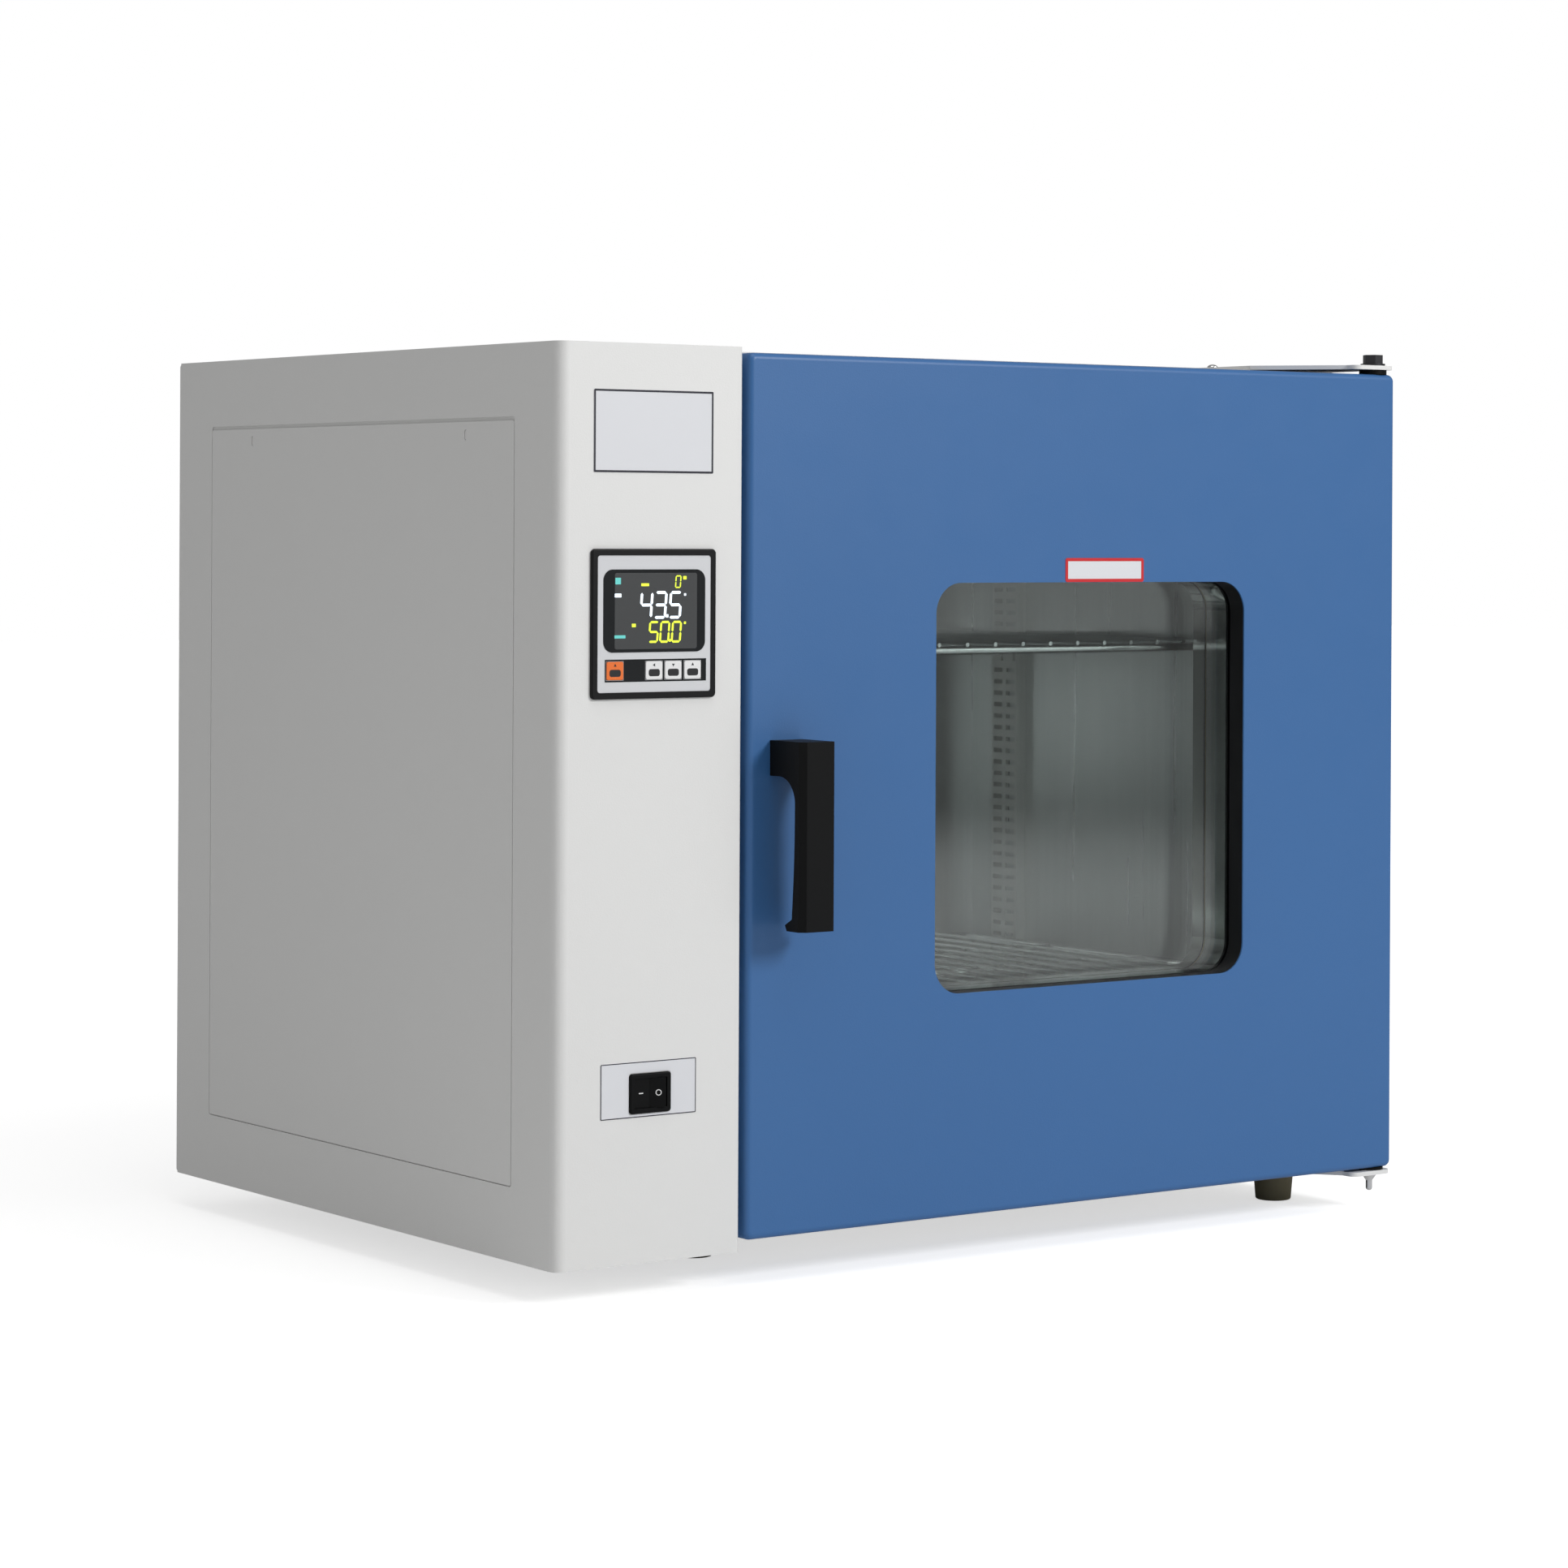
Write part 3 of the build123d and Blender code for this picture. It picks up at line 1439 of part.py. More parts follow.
def foot_screws():
    piece = Rot(180, 0, 0) * screw(screw_length + case_sheet)
    return group([Pos(x, y, foot_height - screw_length) * piece for x, y in foot_places.values()])


nodes = {
    "left_side_and_column": left_side_and_column(),
    "access_panel": access_panel(),
    "top_panel": top_panel(),
    "bottom_pan": bottom_pan(),
    "right_side_panel": right_side_panel(),
    "back_panel": back_panel(),
    "compartment_wall": compartment_wall(),
    "front_frame": front_frame(),
    "chamber_liner": chamber_liner(),
    "lagging": lagging(),
    "duct_panel": duct_panel(),
    "fan_motor": fan_motor(),
    "fan_shaft": fan_shaft(),
    "fan_wheel": fan_wheel(),
    "tube_heaters": tube_heaters(),
    "temperature_probe": temperature_probe(),
    "shelf_posts": shelf_posts(),
    "shelf_clips": shelf_clips(),
    "lower_shelf": wire_shelf(shelf_heights[0]),
    "upper_shelf": wire_shelf(shelf_heights[1]),
    "controller_bezel": controller_bezel(),
    "controller_face": controller_face(),
    "controller_display": controller_display(),
    "controller_case": controller_case(),
    "switch_housing": switch_housing(),
    "switch_rocker": switch_rocker(),
    "terminal_block": terminal_block(),
    "relay": relay(),
    "overheat_limiter": overheat_limiter(),
    "power_inlet": power_inlet(),
    "vent_duct": vent_duct(),
    "vent_damper": vent_damper(),
    "hinge_plate_top": hinge_plate_top(),
    "hinge_plate_bottom": hinge_plate_bottom(),
    "hinge_bolt_top": hinge_bolt_top(),
    "hinge_bolt_bottom": hinge_bolt_bottom(),
    "catch_magnet": catch_magnet(),
    "door_shell": door_shell(),
    "door_inner_panel": door_inner_panel(),
    "door_lagging": door_lagging(),
    "window_rubber": window_rubber(),
    "window_outer_glass": window_outer_glass(),
    "window_inner_glass": window_inner_glass(),
    "window_tunnel": window_tunnel(),
    "door_seal": door_seal(),
    "catch_plate": catch_plate(),
    "door_bushes": door_bushes(),
    "door_handle": door_handle(),
    "handle_screws": handle_screws(),
    "case_screws": case_screws(),
    "foot_screws": foot_screws(),
}
for name, (x, y) in foot_places.items():
    nodes[name] = foot(x, y)
for name, (x, z) in zip(key_names, key_centres()):
    nodes[name] = controller_key(x, z)

for name, shape in nodes.items():
    export_step(shape, f"parts/{name}.step")
print(len(nodes), "nodes written")
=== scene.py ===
import bpy
import bmesh
import math
from mathutils import Matrix, Vector


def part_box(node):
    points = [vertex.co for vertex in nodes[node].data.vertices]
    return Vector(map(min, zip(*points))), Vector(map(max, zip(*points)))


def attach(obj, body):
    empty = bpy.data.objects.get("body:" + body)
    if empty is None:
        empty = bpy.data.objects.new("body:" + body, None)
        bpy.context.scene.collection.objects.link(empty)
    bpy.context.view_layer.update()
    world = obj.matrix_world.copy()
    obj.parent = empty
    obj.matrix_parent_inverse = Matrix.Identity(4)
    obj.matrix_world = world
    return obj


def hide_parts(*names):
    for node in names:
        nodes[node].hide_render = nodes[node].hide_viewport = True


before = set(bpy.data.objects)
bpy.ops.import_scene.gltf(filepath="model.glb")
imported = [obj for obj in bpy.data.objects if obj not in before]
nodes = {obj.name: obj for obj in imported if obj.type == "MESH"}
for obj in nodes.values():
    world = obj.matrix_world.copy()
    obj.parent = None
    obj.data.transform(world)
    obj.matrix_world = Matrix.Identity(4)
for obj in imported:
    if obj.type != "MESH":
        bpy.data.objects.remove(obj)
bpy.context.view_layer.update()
mm = 0.001


def newMaterial(name):
    material = bpy.data.materials.new(name)
    material.use_nodes = True
    tree = material.node_tree
    shader = tree.nodes["Principled BSDF"]
    return material, tree, shader


def setSockets(shader, values):
    for name, value in values.items():
        shader.inputs[name].default_value = value


def objectCoords(tree, stretch=(1.0, 1.0, 1.0)):
    coords = tree.nodes.new("ShaderNodeTexCoord")
    mapping = tree.nodes.new("ShaderNodeMapping")
    mapping.inputs["Scale"].default_value = stretch
    tree.links.new(coords.outputs["Object"], mapping.inputs["Vector"])
    return mapping.outputs["Vector"]


def groupSocket(group, name, direction, kind="NodeSocketFloat", value=None):
    socket = group.interface.new_socket(name=name, in_out=direction, socket_type=kind)
    if value is not None:
        socket.default_value = value
    return socket


def buildPowderGroup():
    # orange peel, faint clouding of the colour and a little dust that dulls the gloss
    group = bpy.data.node_groups.new("powderCoat", "ShaderNodeTree")
    groupSocket(group, "Vector", "INPUT", "NodeSocketVector")
    groupSocket(group, "Colour", "INPUT", "NodeSocketColor", (0.8, 0.8, 0.8, 1))
    groupSocket(group, "Peel Scale", "INPUT", value=900.0)
    groupSocket(group, "Clouding", "INPUT", value=0.04)
    groupSocket(group, "Roughness", "INPUT", value=0.4)
    groupSocket(group, "Colour", "OUTPUT", "NodeSocketColor")
    groupSocket(group, "Roughness", "OUTPUT")
    groupSocket(group, "Height", "OUTPUT")
    start = group.nodes.new("NodeGroupInput")
    end = group.nodes.new("NodeGroupOutput")
    peel = group.nodes.new("ShaderNodeTexNoise")
    peel.inputs["Detail"].default_value = 2.0
    cloud = group.nodes.new("ShaderNodeTexNoise")
    cloud.inputs["Scale"].default_value = 3.2
    cloud.inputs["Detail"].default_value = 4.0
    dust = group.nodes.new("ShaderNodeTexNoise")
    dust.inputs["Scale"].default_value = 34.0
    dust.inputs["Detail"].default_value = 6.0
    links = group.links
    for texture in (peel, cloud, dust):
        links.new(start.outputs["Vector"], texture.inputs["Vector"])
    links.new(start.outputs["Peel Scale"], peel.inputs["Scale"])
    shade = group.nodes.new("ShaderNodeMapRange")  # clouding about 1
    low = group.nodes.new("ShaderNodeMath")
    low.operation = "SUBTRACT"
    low.inputs[0].default_value = 1.0
    high = group.nodes.new("ShaderNodeMath")
    high.inputs[0].default_value = 1.0
    links.new(start.outputs["Clouding"], low.inputs[1])
    links.new(start.outputs["Clouding"], high.inputs[1])
    links.new(cloud.outputs["Fac"], shade.inputs["Value"])
    links.new(low.outputs[0], shade.inputs["To Min"])
    links.new(high.outputs[0], shade.inputs["To Max"])
    tint = group.nodes.new("ShaderNodeVectorMath")
    tint.operation = "SCALE"
    links.new(start.outputs["Colour"], tint.inputs[0])
    links.new(shade.outputs["Result"], tint.inputs["Scale"])
    links.new(tint.outputs["Vector"], end.inputs["Colour"])
    rough = group.nodes.new("ShaderNodeMath")
    rough.operation = "MULTIPLY_ADD"
    rough.inputs[1].default_value = 0.12
    links.new(dust.outputs["Fac"], rough.inputs[0])
    links.new(start.outputs["Roughness"], rough.inputs[2])
    links.new(rough.outputs[0], end.inputs["Roughness"])
    links.new(peel.outputs["Fac"], end.inputs["Height"])
    return group


def buildBrushGroup():
    # long streaks of a rolled or brushed sheet
    group = bpy.data.node_groups.new("brushedGrain", "ShaderNodeTree")
    groupSocket(group, "Vector", "INPUT", "NodeSocketVector")
    groupSocket(group, "Colour", "INPUT", "NodeSocketColor", (0.6, 0.6, 0.6, 1))
    groupSocket(group, "Streak", "INPUT", value=0.1)
    groupSocket(group, "Roughness", "INPUT", value=0.3)
    groupSocket(group, "Colour", "OUTPUT", "NodeSocketColor")
    groupSocket(group, "Roughness", "OUTPUT")
    groupSocket(group, "Height", "OUTPUT")
    start = group.nodes.new("NodeGroupInput")
    end = group.nodes.new("NodeGroupOutput")
    streak = group.nodes.new("ShaderNodeTexNoise")
    streak.inputs["Scale"].default_value = 6.0
    streak.inputs["Detail"].default_value = 8.0
    blotch = group.nodes.new("ShaderNodeTexNoise")
    blotch.inputs["Scale"].default_value = 9.0
    links = group.links
    links.new(start.outputs["Vector"], streak.inputs["Vector"])
    links.new(start.outputs["Vector"], blotch.inputs["Vector"])
    rough = group.nodes.new("ShaderNodeMath")
    rough.operation = "MULTIPLY_ADD"
    links.new(streak.outputs["Fac"], rough.inputs[0])
    links.new(start.outputs["Streak"], rough.inputs[1])
    links.new(start.outputs["Roughness"], rough.inputs[2])
    links.new(rough.outputs[0], end.inputs["Roughness"])
    shade = group.nodes.new("ShaderNodeMapRange")
    shade.inputs["To Min"].default_value = 0.90
    shade.inputs["To Max"].default_value = 1.06
    links.new(blotch.outputs["Fac"], shade.inputs["Value"])
    tint = group.nodes.new("ShaderNodeVectorMath")
    tint.operation = "SCALE"
    links.new(start.outputs["Colour"], tint.inputs[0])
    links.new(shade.outputs["Result"], tint.inputs["Scale"])
    links.new(tint.outputs["Vector"], end.inputs["Colour"])
    links.new(streak.outputs["Fac"], end.inputs["Height"])
    return group


powderGroup = buildPowderGroup()
brushGroup = buildBrushGroup()


def dressWithGroup(name, group, inputs, bump, sockets, stretch=(1.0, 1.0, 1.0)):
    material, tree, shader = newMaterial(name)
    place = tree.nodes.new("ShaderNodeGroup")
    place.node_tree = group
    setSockets(place, inputs)
    tree.links.new(objectCoords(tree, stretch), place.inputs["Vector"])
    tree.links.new(place.outputs["Colour"], shader.inputs["Base Color"])
    tree.links.new(place.outputs["Roughness"], shader.inputs["Roughness"])
    height = tree.nodes.new("ShaderNodeBump")
    height.inputs["Strength"].default_value = bump[0]
    height.inputs["Distance"].default_value = bump[1]
    tree.links.new(place.outputs["Height"], height.inputs["Height"])
    tree.links.new(height.outputs["Normal"], shader.inputs["Normal"])
    setSockets(shader, sockets)
    return material


def powderPaint(name, colour, roughness, peel, clouding):
    inputs = {"Colour": (*colour, 1), "Peel Scale": peel, "Clouding": clouding, "Roughness": roughness}
    return dressWithGroup(name, powderGroup, inputs, (0.12, 0.0006), {})


def sheetSteel(name, colour, roughness, streak, stretch, metallic=1.0, bump=0.10):
    inputs = {"Colour": (*colour, 1), "Streak": streak, "Roughness": roughness}
    return dressWithGroup(name, brushGroup, inputs, (bump, 0.0004), {"Metallic": metallic}, stretch)


def mouldedPlastic(name, colour, roughness, grain, bump, shine=0.5):
    inputs = {"Colour": (*colour, 1), "Peel Scale": grain, "Clouding": 0.03, "Roughness": roughness}
    return dressWithGroup(name, powderGroup, inputs, (bump, 0.0004), {"Specular IOR Level": shine})


inkSpeck = {"scale": 700.0, "glossiest": 0.28, "dullest": 0.42}


def printInk(name, colour, glow=0.0):
    material, tree, shader = newMaterial(name)
    speck = tree.nodes.new("ShaderNodeTexNoise")
    speck.inputs["Scale"].default_value = inkSpeck["scale"]
    tree.links.new(objectCoords(tree), speck.inputs["Vector"])
    mix = tree.nodes.new("ShaderNodeMapRange")
    mix.inputs["To Min"].default_value = inkSpeck["glossiest"]
    mix.inputs["To Max"].default_value = inkSpeck["dullest"]
    tree.links.new(speck.outputs["Fac"], mix.inputs["Value"])
    tree.links.new(mix.outputs["Result"], shader.inputs["Roughness"])
    setSockets(shader, {"Base Color": (*colour, 1)})
    if glow > 0:
        setSockets(shader, {"Emission Color": (*colour, 1), "Emission Strength": glow})
    return material


paneHaze = {"scale": 11.0, "detail": 5.0, "clearest": 0.0, "dullest": 0.03}


def clearPane(name, tint):
    # the pane lets lamp light through, so that what stands behind it is lit
    material, tree, shader = newMaterial(name)
    setSockets(shader, {"Base Color": (*tint, 1), "Transmission Weight": 1.0, "IOR": 1.45})
    smudge = tree.nodes.new("ShaderNodeTexNoise")
    smudge.inputs["Scale"].default_value = paneHaze["scale"]
    smudge.inputs["Detail"].default_value = paneHaze["detail"]
    tree.links.new(objectCoords(tree), smudge.inputs["Vector"])
    haze = tree.nodes.new("ShaderNodeMapRange")
    haze.inputs["To Min"].default_value = paneHaze["clearest"]
    haze.inputs["To Max"].default_value = paneHaze["dullest"]
    tree.links.new(smudge.outputs["Fac"], haze.inputs["Value"])
    tree.links.new(haze.outputs["Result"], shader.inputs["Roughness"])
    through = tree.nodes.new("ShaderNodeBsdfTransparent")
    through.inputs["Color"].default_value = (*[0.5 + 0.5 * c for c in tint], 1)
    path = tree.nodes.new("ShaderNodeLightPath")
    mix = tree.nodes.new("ShaderNodeMixShader")
    out = tree.nodes["Material Output"]
    tree.links.new(path.outputs["Is Shadow Ray"], mix.inputs["Fac"])
    tree.links.new(shader.outputs["BSDF"], mix.inputs[1])
    tree.links.new(through.outputs["BSDF"], mix.inputs[2])
    tree.links.new(mix.outputs["Shader"], out.inputs["Surface"])
    return material


# finishes

powderLooks = {  # colour, roughness, scale of the orange peel, clouding
    "casePaint": ((0.77, 0.77, 0.76), 0.38, 900, 0.015),
    "doorPaint": ((0.0365, 0.135, 0.343), 0.36, 900, 0.05),
    "motorEnamel": ((0.02, 0.02, 0.022), 0.35, 850, 0.02),
}
steelLooks = {  # colour, roughness, streak, stretch of the grain, and where needed metallic and bump
    "chamberSteel": ((0.52, 0.53, 0.53), 0.24, 0.10, (18, 18, 0.5), 1.0, 0.02),
    "postSteel": ((0.62, 0.62, 0.60), 0.40, 0.12, (18, 18, 0.5), 0.55),
    "polishedSteel": ((0.60, 0.60, 0.59), 0.08, 0.06, (1, 14, 1)),
    "frameSteel": ((0.55, 0.55, 0.55), 0.28, 0.18, (14, 1, 1)),
    "zincSheet": ((0.60, 0.61, 0.62), 0.34, 0.14, (3, 3, 3)),
    "brightSteel": ((0.72, 0.72, 0.72), 0.14, 0.10, (5, 5, 5)),
    # dark steel, worn only by the top hinge bolt; the bottom hinge bolt is bright steel
    "darkSteel": ((0.06, 0.06, 0.065), 0.38, 0.16, (6, 6, 6)),
    "heaterTube": ((0.16, 0.15, 0.14), 0.45, 0.2, (4, 4, 4)),
}
plasticLooks = {  # colour, roughness, scale of the grain, bump, and where needed shine
    "mineralWool": ((0.45, 0.36, 0.18), 0.85, 420, 0.8),
    "blackRubber": ((0.006, 0.006, 0.007), 0.5, 1600, 0.12, 0.2),
    "redSilicone": ((0.34, 0.07, 0.045), 0.42, 1400, 0.1),
    "footRubber": ((0.19, 0.17, 0.105), 0.62, 1500, 0.2, 0.3),
    "handleBlack": ((0.0045, 0.0048, 0.0052), 0.48, 2600, 0.14, 0.12),
    "switchBlack": ((0.0045, 0.0047, 0.005), 0.40, 2600, 0.1, 0.1),
    "bezelBlack": ((0.0055, 0.0055, 0.006), 0.36, 2600, 0.1, 0.2),
    "faceSilver": ((0.66, 0.67, 0.69), 0.32, 3000, 0.04),
    "lensBlack": ((0.012, 0.0135, 0.015), 0.18, 900, 0.01, 0.25),
    "keyWhite": ((0.82, 0.82, 0.82), 0.34, 2400, 0.06),
    "keyOrange": ((0.85, 0.17, 0.02), 0.34, 2400, 0.06),
    "creamStrip": ((0.70, 0.66, 0.50), 0.45, 1500, 0.1),
    "relayGrey": ((0.52, 0.53, 0.54), 0.4, 1500, 0.08),
}
paints = {name: powderPaint(name, *look) for name, look in powderLooks.items()}
paints.update({name: sheetSteel(name, *look) for name, look in steelLooks.items()})
paints.update({name: mouldedPlastic(name, *look) for name, look in plasticLooks.items()})
paints["pane"] = clearPane("pane", (0.86, 0.90, 0.89))
finishOfNode = {
    "casePaint": [
        "left_side_and_column", "access_panel", "top_panel", "bottom_pan", "right_side_panel", "back_panel",
        "hinge_plate_top", "hinge_plate_bottom",
    ],
    "doorPaint": ["door_shell"],
    "motorEnamel": ["fan_motor"],
    "chamberSteel": ["chamber_liner", "duct_panel", "vent_duct", "vent_damper"],
    "postSteel": ["shelf_posts", "shelf_clips"],
    "polishedSteel": ["window_tunnel", "door_inner_panel"],
    "frameSteel": ["front_frame"],
    "zincSheet": ["compartment_wall", "overheat_limiter"],
    "brightSteel": [
        "lower_shelf", "upper_shelf", "hinge_bolt_bottom", "catch_plate", "handle_screws", "case_screws",
        "foot_screws", "fan_shaft", "fan_wheel", "temperature_probe",
    ],
    "darkSteel": ["hinge_bolt_top"],
    "heaterTube": ["tube_heaters"],
    "mineralWool": ["lagging", "door_lagging"],
    "blackRubber": ["window_rubber"],
    "redSilicone": ["door_seal"],
    "footRubber": ["foot_front_left", "foot_front_right", "foot_back_left", "foot_back_right"],
    "handleBlack": ["door_handle"],
    "switchBlack": ["switch_housing", "switch_rocker", "power_inlet", "catch_magnet", "door_bushes"],
    "bezelBlack": ["controller_bezel", "controller_case"],
    "faceSilver": ["controller_face"],
    "lensBlack": ["controller_display"],
    "keyWhite": ["shift_key", "down_key", "up_key"],
    "keyOrange": ["set_key"],
    "creamStrip": ["terminal_block"],
    "relayGrey": ["relay"],
    "pane": ["window_outer_glass", "window_inner_glass"],
}
for finish, names in finishOfNode.items():
    for name in names:
        nodes[name].data.materials.clear()
        nodes[name].data.materials.append(paints[finish])
print("finishes set on", sum(len(names) for names in finishOfNode.values()), "nodes")


def finishPiece(name, mesh, material, body):
    piece = bpy.data.objects.new(name, mesh)
    bpy.context.scene.collection.objects.link(piece)
    mesh.materials.append(material)
    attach(piece, body)
    return piece


def roundedOutline(width, height, radius, steps=6):
    # corner points of a rounded rectangle about the origin, anticlockwise
    points = []
    for corner in range(4):
        sx = 1 if corner in (0, 3) else -1
        sz = 1 if corner in (0, 1) else -1
        for i in range(steps + 1):
            angle = math.radians(90 * corner + 90 * i / steps)
            points.append((
                sx * (width / 2 - radius) + radius * math.cos(angle),
                sz * (height / 2 - radius) + radius * math.sin(angle),
            ))
    return points


softEdge = {"sharpFrom": 40, "segments": 2, "profile": 0.7}


def softEdges(bm, width):
    sharp = math.radians(softEdge["sharpFrom"])
    edges = [e for e in bm.edges if len(e.link_faces) == 2 and e.calc_face_angle(0) > sharp]
    bmesh.ops.bevel(bm, geom=edges, offset=width, segments=softEdge["segments"], profile=softEdge["profile"],
                    affect="EDGES")


def bmeshToMesh(bm, name):
    bmesh.ops.recalc_face_normals(bm, faces=bm.faces)
    mesh = bpy.data.meshes.new(name)
    bm.to_mesh(mesh)
    bm.free()
    return mesh


def extrudeOutline(bm, outline, front, back, centre):
    # a closed outline in x and z, from y = front to y = back
    near = [bm.verts.new((centre[0] + x, front, centre[1] + z)) for x, z in outline]
    far = [bm.verts.new((centre[0] + x, back, centre[1] + z)) for x, z in outline]
    bm.faces.new(near)
    bm.faces.new(list(reversed(far)))
    for i in range(len(outline)):
        j = (i + 1) % len(outline)
        bm.faces.new((near[j], near[i], far[i], far[j]))


def extrudeRing(bm, outer, inner, front, back, centre):
    # a frame between two outlines with as many points
    loops = []
    for outline in (outer, inner):
        near = [bm.verts.new((centre[0] + x, front, centre[1] + z)) for x, z in outline]
        far = [bm.verts.new((centre[0] + x, back, centre[1] + z)) for x, z in outline]
        loops.append((near, far))
    (outNear, outFar), (inNear, inFar) = loops
    for i in range(len(outer)):
        j = (i + 1) % len(outer)
        bm.faces.new((outNear[i], outNear[j], inNear[j], inNear[i]))
        bm.faces.new((outFar[j], outFar[i], inFar[i], inFar[j]))
        bm.faces.new((outNear[j], outNear[i], outFar[i], outFar[j]))
        bm.faces.new((inNear[i], inNear[j], inFar[j], inFar[i]))


def plate(name, width, height, radius, front, back, centre, material, body, edge=0.0):
    bm = bmesh.new()
    extrudeOutline(bm, roundedOutline(width, height, radius), front, back, centre)
    if edge > 0:
        softEdges(bm, edge)
    return finishPiece(name, bmeshToMesh(bm, name), material, body)


def border(name, width, height, radius, line, front, back, centre, material, body):
    bm = bmesh.new()
    inner = roundedOutline(width - 2 * line, height - 2 * line, max(radius - line, 0.1 * mm))
    extrudeRing(bm, roundedOutline(width, height, radius), inner, front, back, centre)
    return finishPiece(name, bmeshToMesh(bm, name), material, body)


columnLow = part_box("left_side_and_column")[0]
columnFront = columnLow.y
left = columnLow.x
cabinetFloor = columnLow.z


def onColumn(fromLeft, aboveBottom):
    return (left + fromLeft * mm, cabinetFloor + aboveBottom * mm)


inkWhite = printInk("plateWhite", (0.73, 0.74, 0.77))
inkDark = printInk("plateBorder", (0.018, 0.018, 0.03))
inkRed = printInk("stickerRed", (0.60, 0.02, 0.025))
markWhite = printInk("switchMark", (0.75, 0.75, 0.75))
lcdGrey = printInk("lcdGrey", (0.045, 0.048, 0.050))
glowWhite = printInk("digitWhite", (0.75, 0.85, 0.95), 0.9)
glowLime = printInk("digitLime", (0.62, 0.75, 0.04), 0.8)
glowTeal = printInk("markTeal", (0.10, 0.45, 0.42), 0.6)
keyMark = printInk("keyMark", (0.012, 0.012, 0.014))


# bare name plate on the column

namePlate = {"width": 92.4, "height": 53.0, "fromLeft": 72.6, "aboveBottom": 533.5, "corner": 0.8,
             "edge": 0.1, "line": 1.3, "proud": 0.35, "ink": 0.08}
centre = onColumn(namePlate["fromLeft"], namePlate["aboveBottom"])
plate("namePlate", namePlate["width"] * mm, namePlate["height"] * mm, namePlate["corner"] * mm,
      columnFront - namePlate["proud"] * mm, columnFront, centre, inkWhite, "cabinet",
      namePlate["edge"] * mm)
border("namePlateBorder", namePlate["width"] * mm, namePlate["height"] * mm, namePlate["corner"] * mm,
       namePlate["line"] * mm, columnFront - (namePlate["proud"] + namePlate["ink"]) * mm,
       columnFront - namePlate["proud"] * mm, centre, inkDark, "cabinet")

# bare plate round the switch

switchLow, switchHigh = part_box("switch_housing")
switchPlate = {"width": 73.7, "height": 35.5, "fromLeft": 70.6, "aboveBottom": 111.75, "corner": 0.8,
               "line": 0.6, "proud": 0.3, "ink": 0.08, "holeGap": 0.4, "holeCorner": 2.0}
centre = onColumn(switchPlate["fromLeft"], switchPlate["aboveBottom"])
switchCentre = ((switchLow.x + switchHigh.x) / 2, (switchLow.z + switchHigh.z) / 2)
bm = bmesh.new()
hole = [
    (x + switchCentre[0] - centre[0], z + switchCentre[1] - centre[1])
    for x, z in roundedOutline(switchHigh.x - switchLow.x + 2 * switchPlate["holeGap"] * mm,
                               switchHigh.z - switchLow.z + 2 * switchPlate["holeGap"] * mm,
                               switchPlate["holeCorner"] * mm)
]
plateEdge = roundedOutline(switchPlate["width"] * mm, switchPlate["height"] * mm, switchPlate["corner"] * mm)
extrudeRing(bm, plateEdge, hole, columnFront - switchPlate["proud"] * mm, columnFront, centre)
finishPiece("switchPlate", bmeshToMesh(bm, "switchPlate"), inkWhite, "cabinet")
border("switchPlateBorder", switchPlate["width"] * mm, switchPlate["height"] * mm, switchPlate["corner"] * mm,
       switchPlate["line"] * mm, columnFront - (switchPlate["proud"] + switchPlate["ink"]) * mm,
       columnFront - switchPlate["proud"] * mm, centre, inkDark, "cabinet")

# marks on the rocker: a bar for on and a ring for off

rocker = {"pivotDepth": 3.0, "tilt": -10.0, "waist": 3.6, "rise": 6.0, "half": 12.4, "along": 6.2,
          "bar": (3.4, 0.7), "barCorner": 0.2, "ringOuter": 2.0, "ringInner": 1.45, "ink": 0.06, "sunk": 0.05}
faceSlope = math.atan2(rocker["rise"] - rocker["waist"], rocker["half"])
rockerPivot = Matrix.Translation((switchCentre[0], columnFront + rocker["pivotDepth"] * mm, switchCentre[1]))
rockerTurn = rockerPivot @ Matrix.Rotation(math.radians(rocker["tilt"]), 4, "Z")


def rockerMark(name, side, build):
    # drawn flat at the origin, then laid on one of the rocker's two faces
    bm = bmesh.new()
    build(bm)
    depth = -(rocker["waist"] + rocker["along"] * math.tan(faceSlope)) * mm
    lay = Matrix.Translation((side * rocker["along"] * mm, depth, 0))
    lean = Matrix.Rotation(-side * faceSlope, 4, "Z")
    bmesh.ops.transform(bm, matrix=rockerTurn @ lay @ lean, verts=bm.verts)
    return finishPiece(name, bmeshToMesh(bm, name), markWhite, "rocker")


rockerMark("switchOnMark", -1, lambda bm: extrudeOutline(
    bm, roundedOutline(rocker["bar"][0] * mm, rocker["bar"][1] * mm, rocker["barCorner"] * mm),
    -rocker["ink"] * mm, rocker["sunk"] * mm, (0, 0)))
rockerMark("switchOffMark", 1, lambda bm: extrudeRing(
    bm, roundedOutline(2 * rocker["ringOuter"] * mm, 2 * rocker["ringOuter"] * mm, rocker["ringOuter"] * mm),
    roundedOutline(2 * rocker["ringInner"] * mm, 2 * rocker["ringInner"] * mm, rocker["ringInner"] * mm),
    -rocker["ink"] * mm, rocker["sunk"] * mm, (0, 0)))
print("plates and switch marks made")

# controller: grey screen, digits and marks, key strip and key marks

